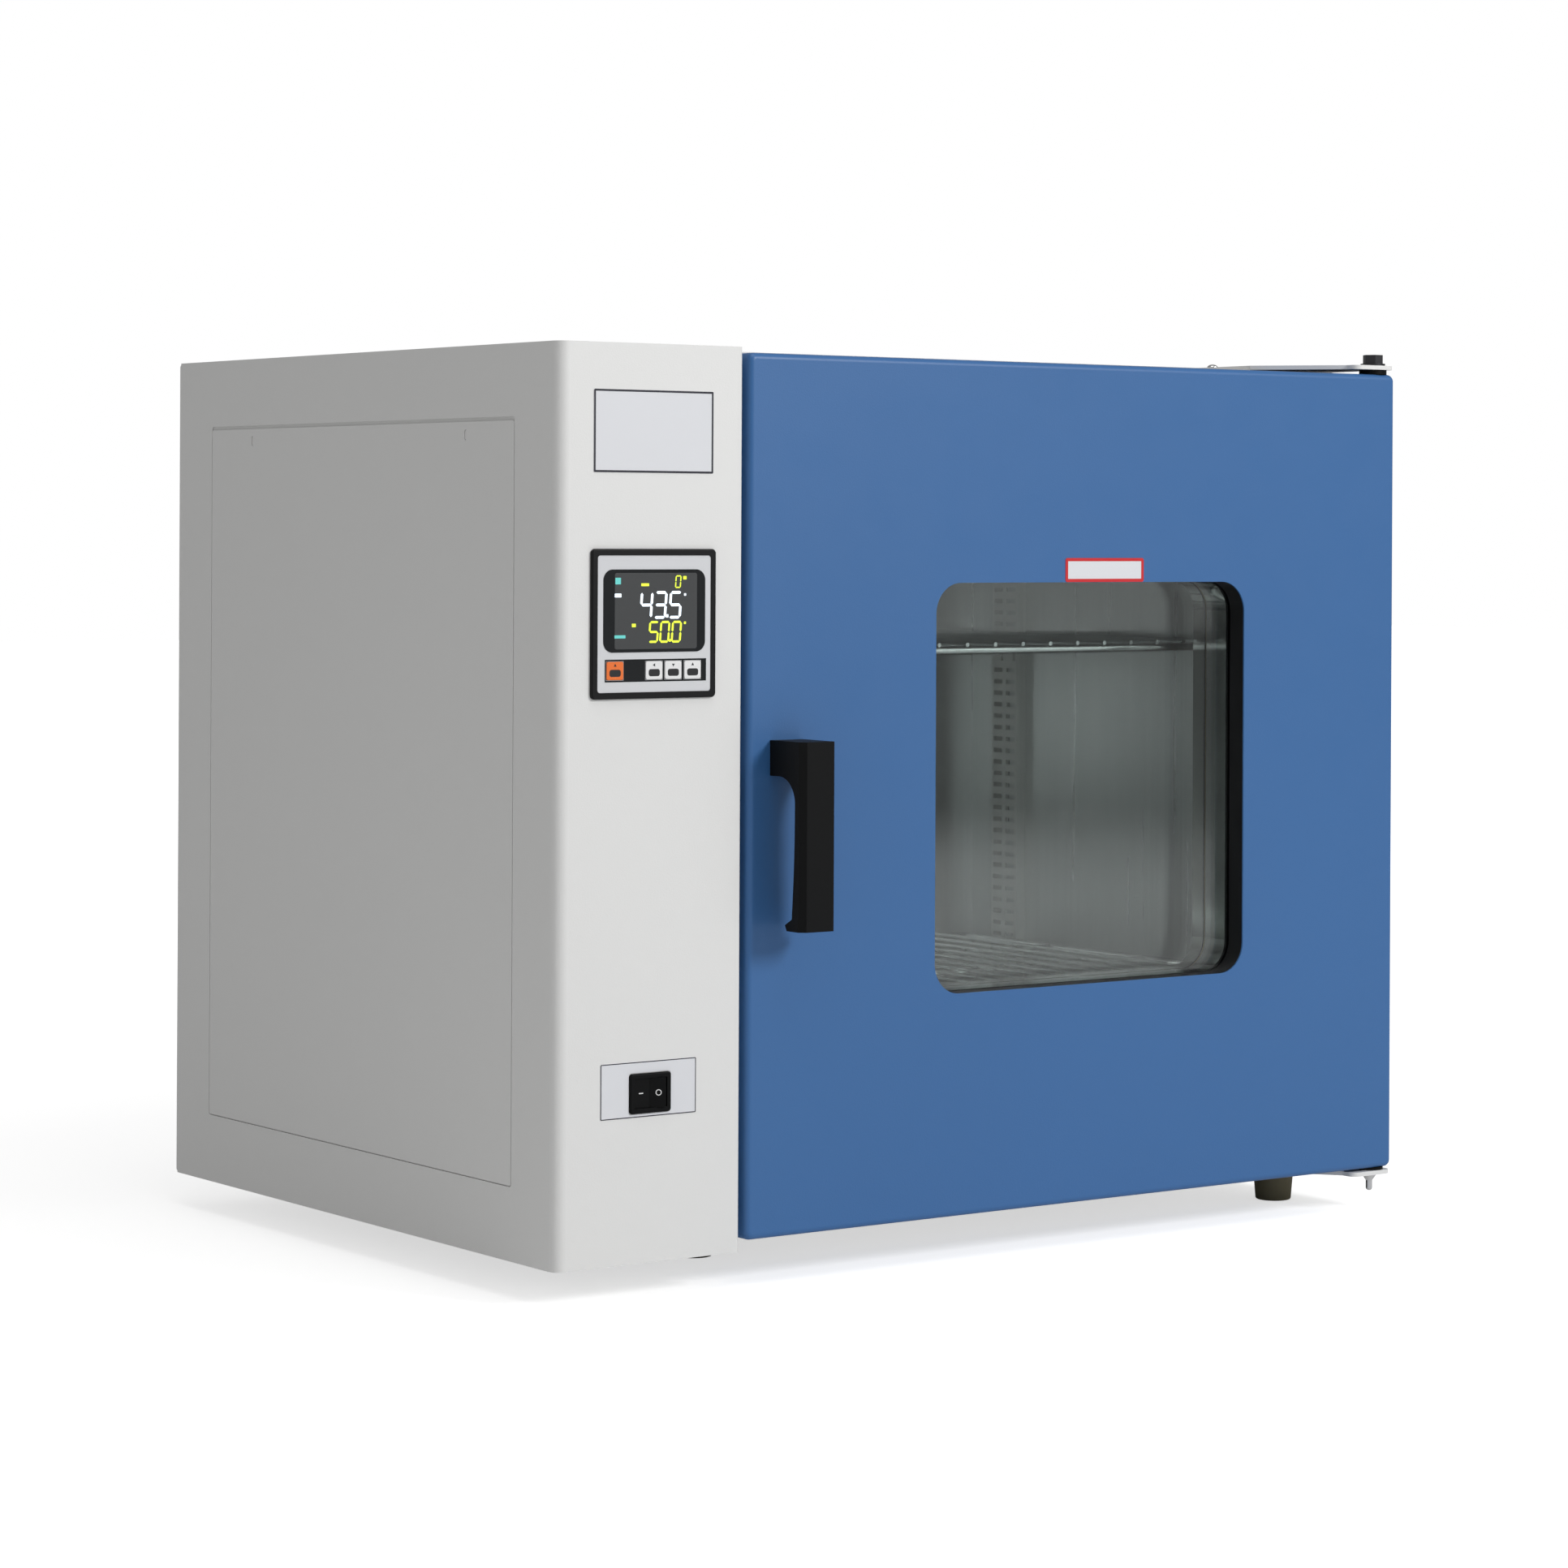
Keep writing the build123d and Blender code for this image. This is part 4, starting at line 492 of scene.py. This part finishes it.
faceLow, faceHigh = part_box("controller_face")
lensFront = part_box("controller_display")[0].y
controllerCentre = ((faceLow.x + faceHigh.x) / 2, (faceLow.z + faceHigh.z) / 2)
screen = {"width": 63.6, "height": 48.8, "above": 8.2, "right": 1.0, "corner": 1.5, "proud": 0.1, "ink": 0.1,
          "markCorner": 0.3}
screenFront = lensFront - screen["proud"] * mm
inkFront = screenFront - screen["ink"] * mm
plate("screen", screen["width"] * mm, screen["height"] * mm, screen["corner"] * mm, screenFront, lensFront,
      (controllerCentre[0] + screen["right"] * mm, controllerCentre[1] + screen["above"] * mm), lcdGrey,
      "cabinet")

# seven-segment figures: all lengths are shares of a figure's height
figure = {"wide": 0.50, "pitch": 0.68, "thick": 0.115, "slant": 0.08, "gap": 0.12, "point": 0.13,
          "pointCorner": 0.02, "pointRight": 0.07, "pointLift": 0.06, "pointPitch": 0.04}
segmentsOfDigit = {
    "0": "abcdef", "1": "bc", "2": "abged", "3": "abgcd", "4": "fgbc", "5": "afgcd", "6": "afgedc",
    "7": "abc", "8": "abcdefg", "9": "abcdfg",
}
readings = [  # name, figures, right end and foot from the controller's centre, height, ink
    ("measuredValue", "43.5", 19.2, 4.0, 16.0, glowWhite),
    ("setValue", "50.0", 19.4, -11.6, 12.6, glowLime),
    ("stageValue", "0", 19.6, 23.2, 7.4, glowLime),
]


def segmentBar(bm, start, end, thick):
    # a six-sided bar from start to end, pointed at both ends
    along = (Vector(end) - Vector(start)).normalized()
    side = Vector((-along.y, along.x)) * thick / 2
    tip = along * thick / 2
    gap = along * thick * figure["gap"]
    a = Vector(start) + gap
    b = Vector(end) - gap
    outline = [a, a + tip + side, b - tip + side, b, b - tip - side, a + tip - side]
    extrudeOutline(bm, [(p.x, p.y) for p in outline], inkFront, screenFront, (0, 0))


def fromController(x, z):
    return (controllerCentre[0] + x * mm, controllerCentre[1] + z * mm)


def segmentText(name, text, right, base, height, material):
    bm = bmesh.new()
    x = right
    dot = roundedOutline(figure["point"] * height * mm, figure["point"] * height * mm,
                         figure["pointCorner"] * height * mm, 2)
    w = figure["wide"] * height
    for mark in reversed(text):
        if mark == ".":
            place = fromController(x + figure["pointRight"] * height, base + figure["pointLift"] * height)
            extrudeOutline(bm, dot, inkFront, screenFront, place)
            x -= figure["pointPitch"] * height
            continue
        corners = {
            "a": ((x - w, height), (x, height)), "b": ((x, height), (x, height / 2)),
            "c": ((x, height / 2), (x, 0)), "d": ((x - w, 0), (x, 0)),
            "e": ((x - w, height / 2), (x - w, 0)), "f": ((x - w, height), (x - w, height / 2)),
            "g": ((x - w, height / 2), (x, height / 2)),
        }
        for segment in segmentsOfDigit[mark]:
            start, end = [fromController(px + figure["slant"] * pz, base + pz) for px, pz in corners[segment]]
            segmentBar(bm, start, end, figure["thick"] * height * mm)
        x -= figure["pitch"] * height
    return finishPiece(name, bmeshToMesh(bm, name), material, "cabinet")


for reading in readings:
    segmentText(*reading)
screenMarks = [  # name, place from the controller's centre, width, height, ink
    ("outMark", -28.4, 27.4, 4.2, 4.2, glowTeal), ("runMark", -28.4, 18.2, 5.0, 2.4, glowWhite),
    ("barMark", -26.8, -8.2, 8.4, 2.0, glowTeal), ("stageMark", -7.6, 25.0, 6.0, 1.8, glowLime),
    ("unitMark", 23.2, 29.4, 2.6, 2.2, glowLime), ("setMark", -16.2, -1.0, 3.0, 2.2, glowLime),
    ("degreeMark", 23.4, 18.6, 1.6, 1.6, glowWhite), ("degreeMarkLow", 23.4, 0.4, 1.6, 1.6, glowLime),
]
for name, x, z, wide, tall, material in screenMarks:
    plate(name, wide * mm, tall * mm, screen["markCorner"] * mm, inkFront, screenFront,
          fromController(x, z), material, "cabinet")

keyStrip = {"width": 78.4, "height": 14.4, "right": 1.15, "below": 29.9, "proud": 0.12, "keyRim": 0.5,
            "gap": 0.35}


def keyStripSheet():
    # a thin black print with an opening for each key, built from the cells between the openings
    inset = (keyStrip["keyRim"] - keyStrip["gap"]) * mm
    holes = []
    for key in ("set_key", "shift_key", "down_key", "up_key"):
        low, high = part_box(key)
        holes.append([round(v, 7) for v in (low.x + inset, high.x - inset, low.z + inset, high.z - inset)])
    x0 = controllerCentre[0] + (keyStrip["right"] - keyStrip["width"] / 2) * mm
    x1 = x0 + keyStrip["width"] * mm
    z0 = controllerCentre[1] - (keyStrip["below"] + keyStrip["height"] / 2) * mm
    z1 = z0 + keyStrip["height"] * mm
    xs = sorted({x0, x1, *[h[0] for h in holes], *[h[1] for h in holes]})
    zs = sorted({z0, z1, *[h[2] for h in holes], *[h[3] for h in holes]})
    cells = []
    for i, (xa, xb) in enumerate(zip(xs, xs[1:])):
        for j, (za, zb) in enumerate(zip(zs, zs[1:])):
            x, z = (xa + xb) / 2, (za + zb) / 2
            if not any(h[0] < x < h[1] and h[2] < z < h[3] for h in holes):
                cells.append((i, j))
    bm = bmesh.new()
    grid = [(i, j) for i in range(len(xs)) for j in range(len(zs))]
    front = {(i, j): bm.verts.new((xs[i], faceLow.y - keyStrip["proud"] * mm, zs[j])) for i, j in grid}
    back = {(i, j): bm.verts.new((xs[i], faceLow.y, zs[j])) for i, j in grid}
    for i, j in cells:
        loop = [(i, j), (i + 1, j), (i + 1, j + 1), (i, j + 1)]
        beside = [(i, j - 1), (i + 1, j), (i, j + 1), (i - 1, j)]
        bm.faces.new([front[k] for k in loop])
        bm.faces.new([back[k] for k in reversed(loop)])
        for a, b, neighbour in zip(loop, loop[1:] + loop[:1], beside):
            if neighbour not in cells:
                bm.faces.new((front[b], front[a], back[a], back[b]))
    return bmeshToMesh(bm, "keyStrip")


finishPiece("keyStrip", keyStripSheet(), paints["lensBlack"], "cabinet")
keySign = {"width": 8.6, "height": 4.6, "corner": 1.6, "below": 1.5, "ink": 0.06, "arrowRadius": 1.2,
           "arrowAbove": 3.4}
keyTurns = {"set_key": 0, "shift_key": 90, "down_key": 180, "up_key": 0}
for key, turn in keyTurns.items():
    low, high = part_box(key)
    middle = ((low.x + high.x) / 2, (low.z + high.z) / 2)
    plate(key + "Slot", keySign["width"] * mm, keySign["height"] * mm, keySign["corner"] * mm,
          low.y - keySign["ink"] * mm, low.y, (middle[0], middle[1] - keySign["below"] * mm), keyMark,
          key + "_cap")
    bm = bmesh.new()
    points = []
    for i in range(3):
        angle = math.radians(90 + turn + 120 * i)
        points.append((keySign["arrowRadius"] * mm * math.cos(angle),
                       keySign["arrowRadius"] * mm * math.sin(angle)))
    extrudeOutline(bm, points, low.y - keySign["ink"] * mm, low.y,
                   (middle[0], middle[1] + keySign["arrowAbove"] * mm))
    finishPiece(key + "Arrow", bmeshToMesh(bm, key + "Arrow"), keyMark, key + "_cap")
print("controller dressed")

# bare sticker above the window

sticker = {"width": 70.7, "height": 16.6, "fromLeft": 450.9, "aboveBottom": 444.0, "corner": 1.6,
           "line": 2.2, "proud": 0.2, "ink": 0.1, "sheetInset": 1.0, "sheetCorner": 1.2}
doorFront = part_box("door_shell")[0].y
centre = onColumn(sticker["fromLeft"], sticker["aboveBottom"])
plate("stickerSheet", (sticker["width"] - 2 * sticker["sheetInset"]) * mm,
      (sticker["height"] - 2 * sticker["sheetInset"]) * mm, sticker["sheetCorner"] * mm,
      doorFront - sticker["proud"] * mm, doorFront, centre, inkWhite, "door")
border("stickerBorder", sticker["width"] * mm, sticker["height"] * mm, sticker["corner"] * mm,
       sticker["line"] * mm, doorFront - (sticker["proud"] + sticker["ink"]) * mm, doorFront, centre, inkRed,
       "door")


# domed screw heads on the points of the case screws
# known fault: the boolean leaves the dome whole, so the cross recess is hidden inside the head

screws = {"headDiameter": 8.0, "headHeight": 2.4, "recessWide": 4.6, "recessLine": 1.1, "recessDeep": 1.3,
          "turnSeed": 7, "turnMost": 3.0, "ballSegments": 24, "ballRings": 12, "shankReach": 3.0}


def screwTree():
    tree = bpy.data.node_groups.new("crossHeadScrews", "GeometryNodeTree")
    groupSocket(tree, "Geometry", "INPUT", "NodeSocketGeometry")
    groupSocket(tree, "Head Radius", "INPUT", value=screws["headDiameter"] / 2 * mm)
    groupSocket(tree, "Head Height", "INPUT", value=screws["headHeight"] * mm)
    groupSocket(tree, "Recess Width", "INPUT", value=screws["recessWide"] * mm)
    groupSocket(tree, "Recess Line", "INPUT", value=screws["recessLine"] * mm)
    groupSocket(tree, "Recess Depth", "INPUT", value=screws["recessDeep"] * mm)
    groupSocket(tree, "Seed", "INPUT", "NodeSocketInt", screws["turnSeed"])
    groupSocket(tree, "Material", "INPUT", "NodeSocketMaterial")
    groupSocket(tree, "Geometry", "OUTPUT", "NodeSocketGeometry")
    add = tree.nodes.new
    link = tree.links.new
    start = add("NodeGroupInput")
    end = add("NodeGroupOutput")

    def calculate(operation, a, b):
        node = add("ShaderNodeMath")
        node.operation = operation
        for socket, value in zip(node.inputs, (a, b)):
            if isinstance(value, (int, float)):
                socket.default_value = value
            else:
                link(value, socket)
        return node.outputs[0]

    def vector(x, y, z):
        node = add("ShaderNodeCombineXYZ")
        for socket, value in zip(node.inputs, (x, y, z)):
            if isinstance(value, (int, float)):
                socket.default_value = value
            else:
                link(value, socket)
        return node.outputs[0]

    # the domed head: a ball pressed flat, cut off below its seat; the two bars are the recess's cutters
    radius = start.outputs["Head Radius"]
    height = start.outputs["Head Height"]
    ball = add("GeometryNodeMeshUVSphere")
    ball.inputs["Segments"].default_value = screws["ballSegments"]
    ball.inputs["Rings"].default_value = screws["ballRings"]
    link(radius, ball.inputs["Radius"])
    press = add("GeometryNodeTransform")
    link(ball.outputs["Mesh"], press.inputs["Geometry"])
    link(vector(1.0, 1.0, calculate("DIVIDE", height, radius)), press.inputs["Scale"])
    cutter = add("GeometryNodeMeshCube")
    wide = calculate("MULTIPLY", radius, 3.0)
    link(vector(wide, wide, calculate("MULTIPLY", height, 2.0)), cutter.inputs["Size"])
    below = add("GeometryNodeTransform")
    link(cutter.outputs["Mesh"], below.inputs["Geometry"])
    link(vector(0.0, 0.0, calculate("MULTIPLY", height, -1.0)), below.inputs["Translation"])
    cross = add("GeometryNodeJoinGeometry")
    width = start.outputs["Recess Width"]
    line = start.outputs["Recess Line"]
    for alongX, alongY in ((width, line), (line, width)):
        bar = add("GeometryNodeMeshCube")
        deep = calculate("MULTIPLY", start.outputs["Recess Depth"], 2.0)
        link(vector(alongX, alongY, deep), bar.inputs["Size"])
        lift = add("GeometryNodeTransform")
        link(bar.outputs["Mesh"], lift.inputs["Geometry"])
        link(vector(0.0, 0.0, height), lift.inputs["Translation"])
        link(lift.outputs["Geometry"], cross.inputs["Geometry"])
    difference = add("GeometryNodeMeshBoolean")
    difference.operation = "DIFFERENCE"
    link(press.outputs["Geometry"], difference.inputs["Mesh 1"])
    link(below.outputs["Geometry"], difference.inputs["Mesh 2"])
    link(cross.outputs["Geometry"], difference.inputs["Mesh 2"])
    # one head on each point, along the point's normal and turned at random about it
    place = add("GeometryNodeInstanceOnPoints")
    link(start.outputs["Geometry"], place.inputs["Points"])
    link(difference.outputs["Mesh"], place.inputs["Instance"])
    facing = add("GeometryNodeInputNamedAttribute")
    facing.data_type = "FLOAT_VECTOR"
    facing.inputs["Name"].default_value = "facing"
    align = add("FunctionNodeAlignRotationToVector")
    align.axis = "Z"
    link(facing.outputs["Attribute"], align.inputs["Vector"])
    link(align.outputs["Rotation"], place.inputs["Rotation"])
    turn = add("FunctionNodeRandomValue")
    turn.data_type = "FLOAT"
    turn.inputs["Max"].default_value = screws["turnMost"]
    link(start.outputs["Seed"], turn.inputs["Seed"])
    spin = add("GeometryNodeRotateInstances")
    link(place.outputs["Instances"], spin.inputs["Instances"])
    link(vector(0.0, 0.0, turn.outputs["Value"]), spin.inputs["Rotation"])
    real = add("GeometryNodeRealizeInstances")
    link(spin.outputs["Instances"], real.inputs["Geometry"])
    paint = add("GeometryNodeSetMaterial")
    link(real.outputs["Geometry"], paint.inputs["Geometry"])
    link(start.outputs["Material"], paint.inputs["Material"])
    link(paint.outputs["Geometry"], end.inputs["Geometry"])
    return tree


def bakeTree(name, points, facings, tree, values, body):
    # a mesh of bare points carries the tree, and its result becomes a plain mesh
    source = bpy.data.meshes.new(name + "Points")
    source.from_pydata([tuple(p) for p in points], [], [])
    facing = source.attributes.new("facing", "FLOAT_VECTOR", "POINT")
    facing.data.foreach_set("vector", [c for f in facings for c in f])
    carrier = bpy.data.objects.new(name + "Points", source)
    bpy.context.scene.collection.objects.link(carrier)
    modifier = carrier.modifiers.new("make", "NODES")
    modifier.node_group = tree
    identifiers = {item.name: item.identifier for item in tree.interface.items_tree if item.in_out == "INPUT"}
    for label, value in values.items():
        modifier[identifiers[label]] = value
    bpy.context.view_layer.update()
    baked = carrier.evaluated_get(bpy.context.evaluated_depsgraph_get())
    mesh = bpy.data.meshes.new_from_object(baked)
    mesh.name = name
    carrier.modifiers.remove(modifier)
    bpy.data.objects.remove(carrier)
    piece = bpy.data.objects.new(name, mesh)
    bpy.context.scene.collection.objects.link(piece)
    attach(piece, body)
    return piece


def screwPlaces():
    # each case screw's seat and the way its head faces, read from the CAD screws
    bm = bmesh.new()
    bm.from_mesh(nodes["case_screws"].data)
    bmesh.ops.remove_doubles(bm, verts=bm.verts, dist=1e-6)
    places = []
    found = set()
    for first in bm.verts:
        if first in found:
            continue
        found.add(first)
        island = [first]
        for vert in island:  # one screw: it grows as its neighbours are found
            for edge in vert.link_edges:
                other = edge.other_vert(vert)
                if other not in found:
                    found.add(other)
                    island.append(other)
        low = Vector([min(v.co[i] for v in island) for i in range(3)])
        high = Vector([max(v.co[i] for v in island) for i in range(3)])
        size = high - low
        axis = max(range(3), key=lambda i: size[i])
        middle = (low + high) / 2
        rim = []  # points farther out than the shank lie on the head
        for vert in island:
            offset = vert.co - middle
            offset[axis] = 0
            if offset.length > screws["shankReach"] * mm:
                rim.append(vert.co[axis])
        towards = 1 if sum(rim) / len(rim) > middle[axis] else -1
        seat = middle.copy()
        seat[axis] = (high[axis] if towards > 0 else low[axis]) - towards * screws["headHeight"] * mm
        facing = Vector((0, 0, 0))
        facing[axis] = towards
        places.append((seat, facing))
    bm.free()
    # always in the same order, so that each screw keeps its own random turn
    places.sort(key=lambda place: [round(c, 4) for c in place[0]])
    return [seat for seat, facing in places], [facing for seat, facing in places]


seats, facings = screwPlaces()
screwValues = {
    "Head Radius": screws["headDiameter"] / 2 * mm, "Head Height": screws["headHeight"] * mm,
    "Recess Width": screws["recessWide"] * mm, "Recess Line": screws["recessLine"] * mm,
    "Recess Depth": screws["recessDeep"] * mm, "Seed": screws["turnSeed"], "Material": paints["brightSteel"],
}
heads = bakeTree("caseScrewHeads", seats, facings, screwTree(), screwValues, "cabinet")
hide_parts("case_screws")
print("screw heads made:", len(seats))


# camera, floor, world and lamps

camera = {"place": (-1.8080, -2.4813, 0.4947), "yaw": -35.846, "roll": 0.277, "lens": 96.76,
          "shiftY": -0.162, "sensor": 36.0, "farthest": 60.0}
cameraData = bpy.data.cameras.new("camera")
cameraData.sensor_width = camera["sensor"]
cameraData.sensor_fit = "HORIZONTAL"
cameraData.lens = camera["lens"]
cameraData.shift_y = camera["shiftY"]
cameraData.clip_end = camera["farthest"]
cameraObject = bpy.data.objects.new("camera", cameraData)
cameraObject.matrix_world = (
    Matrix.Translation(camera["place"])
    @ Matrix.Rotation(math.radians(camera["yaw"]), 4, "Z")
    @ Matrix.Rotation(math.radians(90), 4, "X")
    @ Matrix.Rotation(math.radians(camera["roll"]), 4, "Z")
)
bpy.context.scene.collection.objects.link(cameraObject)
bpy.context.scene.camera = cameraObject

# near the object the floor glows less, so that its shadow shows; far away it meets the white background
paleFloor = {"reach": 14.0, "colour": (0.80, 0.80, 0.80), "roughness": 0.9, "fadeFrom": 0.7, "fadeTo": 3.0,
             "nearGlow": 0.62, "farGlow": 1.0}
floorMesh = bpy.data.meshes.new("floor")
reach = paleFloor["reach"]
floorMesh.from_pydata([(-reach, -reach, 0), (reach, -reach, 0), (reach, reach, 0), (-reach, reach, 0)], [],
                      [(0, 1, 2, 3)])
floor = bpy.data.objects.new("floor", floorMesh)
bpy.context.scene.collection.objects.link(floor)
floorMaterial, floorNodes, floorShader = newMaterial("paleFloor")
setSockets(floorShader, {"Base Color": (*paleFloor["colour"], 1), "Roughness": paleFloor["roughness"],
                         "Emission Color": (1, 1, 1, 1)})
floorCoords = floorNodes.nodes.new("ShaderNodeTexCoord")
floorReach = floorNodes.nodes.new("ShaderNodeVectorMath")
floorReach.operation = "LENGTH"
floorNodes.links.new(floorCoords.outputs["Object"], floorReach.inputs[0])
floorFade = floorNodes.nodes.new("ShaderNodeMapRange")
floorFade.inputs["From Min"].default_value = paleFloor["fadeFrom"]
floorFade.inputs["From Max"].default_value = paleFloor["fadeTo"]
floorFade.inputs["To Min"].default_value = paleFloor["nearGlow"]
floorFade.inputs["To Max"].default_value = paleFloor["farGlow"]
floorNodes.links.new(floorReach.outputs["Value"], floorFade.inputs["Value"])
floorPath = floorNodes.nodes.new("ShaderNodeLightPath")
floorGlow = floorNodes.nodes.new("ShaderNodeMath")
floorGlow.operation = "MULTIPLY"
floorNodes.links.new(floorFade.outputs["Result"], floorGlow.inputs[1])
floorNodes.links.new(floorPath.outputs["Is Camera Ray"], floorGlow.inputs[0])
floorNodes.links.new(floorGlow.outputs[0], floorShader.inputs["Emission Strength"])
floorMesh.materials.append(floorMaterial)

studio = {"light": 0.30, "seenLight": 1.0}  # the white that the camera and the panes see is brighter
world = bpy.data.worlds.new("studio")
bpy.context.scene.world = world
world.use_nodes = True
worldTree = world.node_tree
backdrop = worldTree.nodes["Background"]
worldPath = worldTree.nodes.new("ShaderNodeLightPath")
seen = worldTree.nodes.new("ShaderNodeMath")
seen.operation = "MAXIMUM"
worldTree.links.new(worldPath.outputs["Is Camera Ray"], seen.inputs[0])
worldTree.links.new(worldPath.outputs["Is Transmission Ray"], seen.inputs[1])
worldGlow = worldTree.nodes.new("ShaderNodeMapRange")
worldGlow.inputs["To Min"].default_value = studio["light"]
worldGlow.inputs["To Max"].default_value = studio["seenLight"]
worldTree.links.new(seen.outputs[0], worldGlow.inputs["Value"])
worldTree.links.new(worldGlow.outputs["Result"], backdrop.inputs["Strength"])
backdrop.inputs["Color"].default_value = (1, 1, 1, 1)

lamps = [
    {"name": "keyLamp", "place": (1.5, -3.4, 2.1), "aim": (0.0, -0.1, 0.3), "size": 1.0, "power": 82.0},
    {"name": "topLamp", "place": (-0.4, -0.9, 3.2), "aim": (0.0, 0.0, 0.3), "size": 2.2, "power": 26.0},
    {"name": "sideLamp", "place": (-3.4, -0.8, 1.2), "aim": (0.0, 0.0, 0.3), "size": 1.8, "power": 4.2},
    {"name": "chamberLamp", "place": (-0.13, -0.15, 0.33), "aim": (0.30, -0.08, 0.32), "size": 0.04,
     "power": 0.085},
]
for lamp in lamps:
    data = bpy.data.lights.new(lamp["name"], "AREA")
    data.size = lamp["size"]
    data.energy = lamp["power"]
    lampObject = bpy.data.objects.new(lamp["name"], data)
    lampObject.location = lamp["place"]
    direction = Vector(lamp["aim"]) - Vector(lamp["place"])
    lampObject.rotation_euler = direction.to_track_quat("-Z", "Y").to_euler()
    bpy.context.scene.collection.objects.link(lampObject)
bpy.context.scene.view_settings.view_transform = "Standard"
print("camera, floor and lamps set")
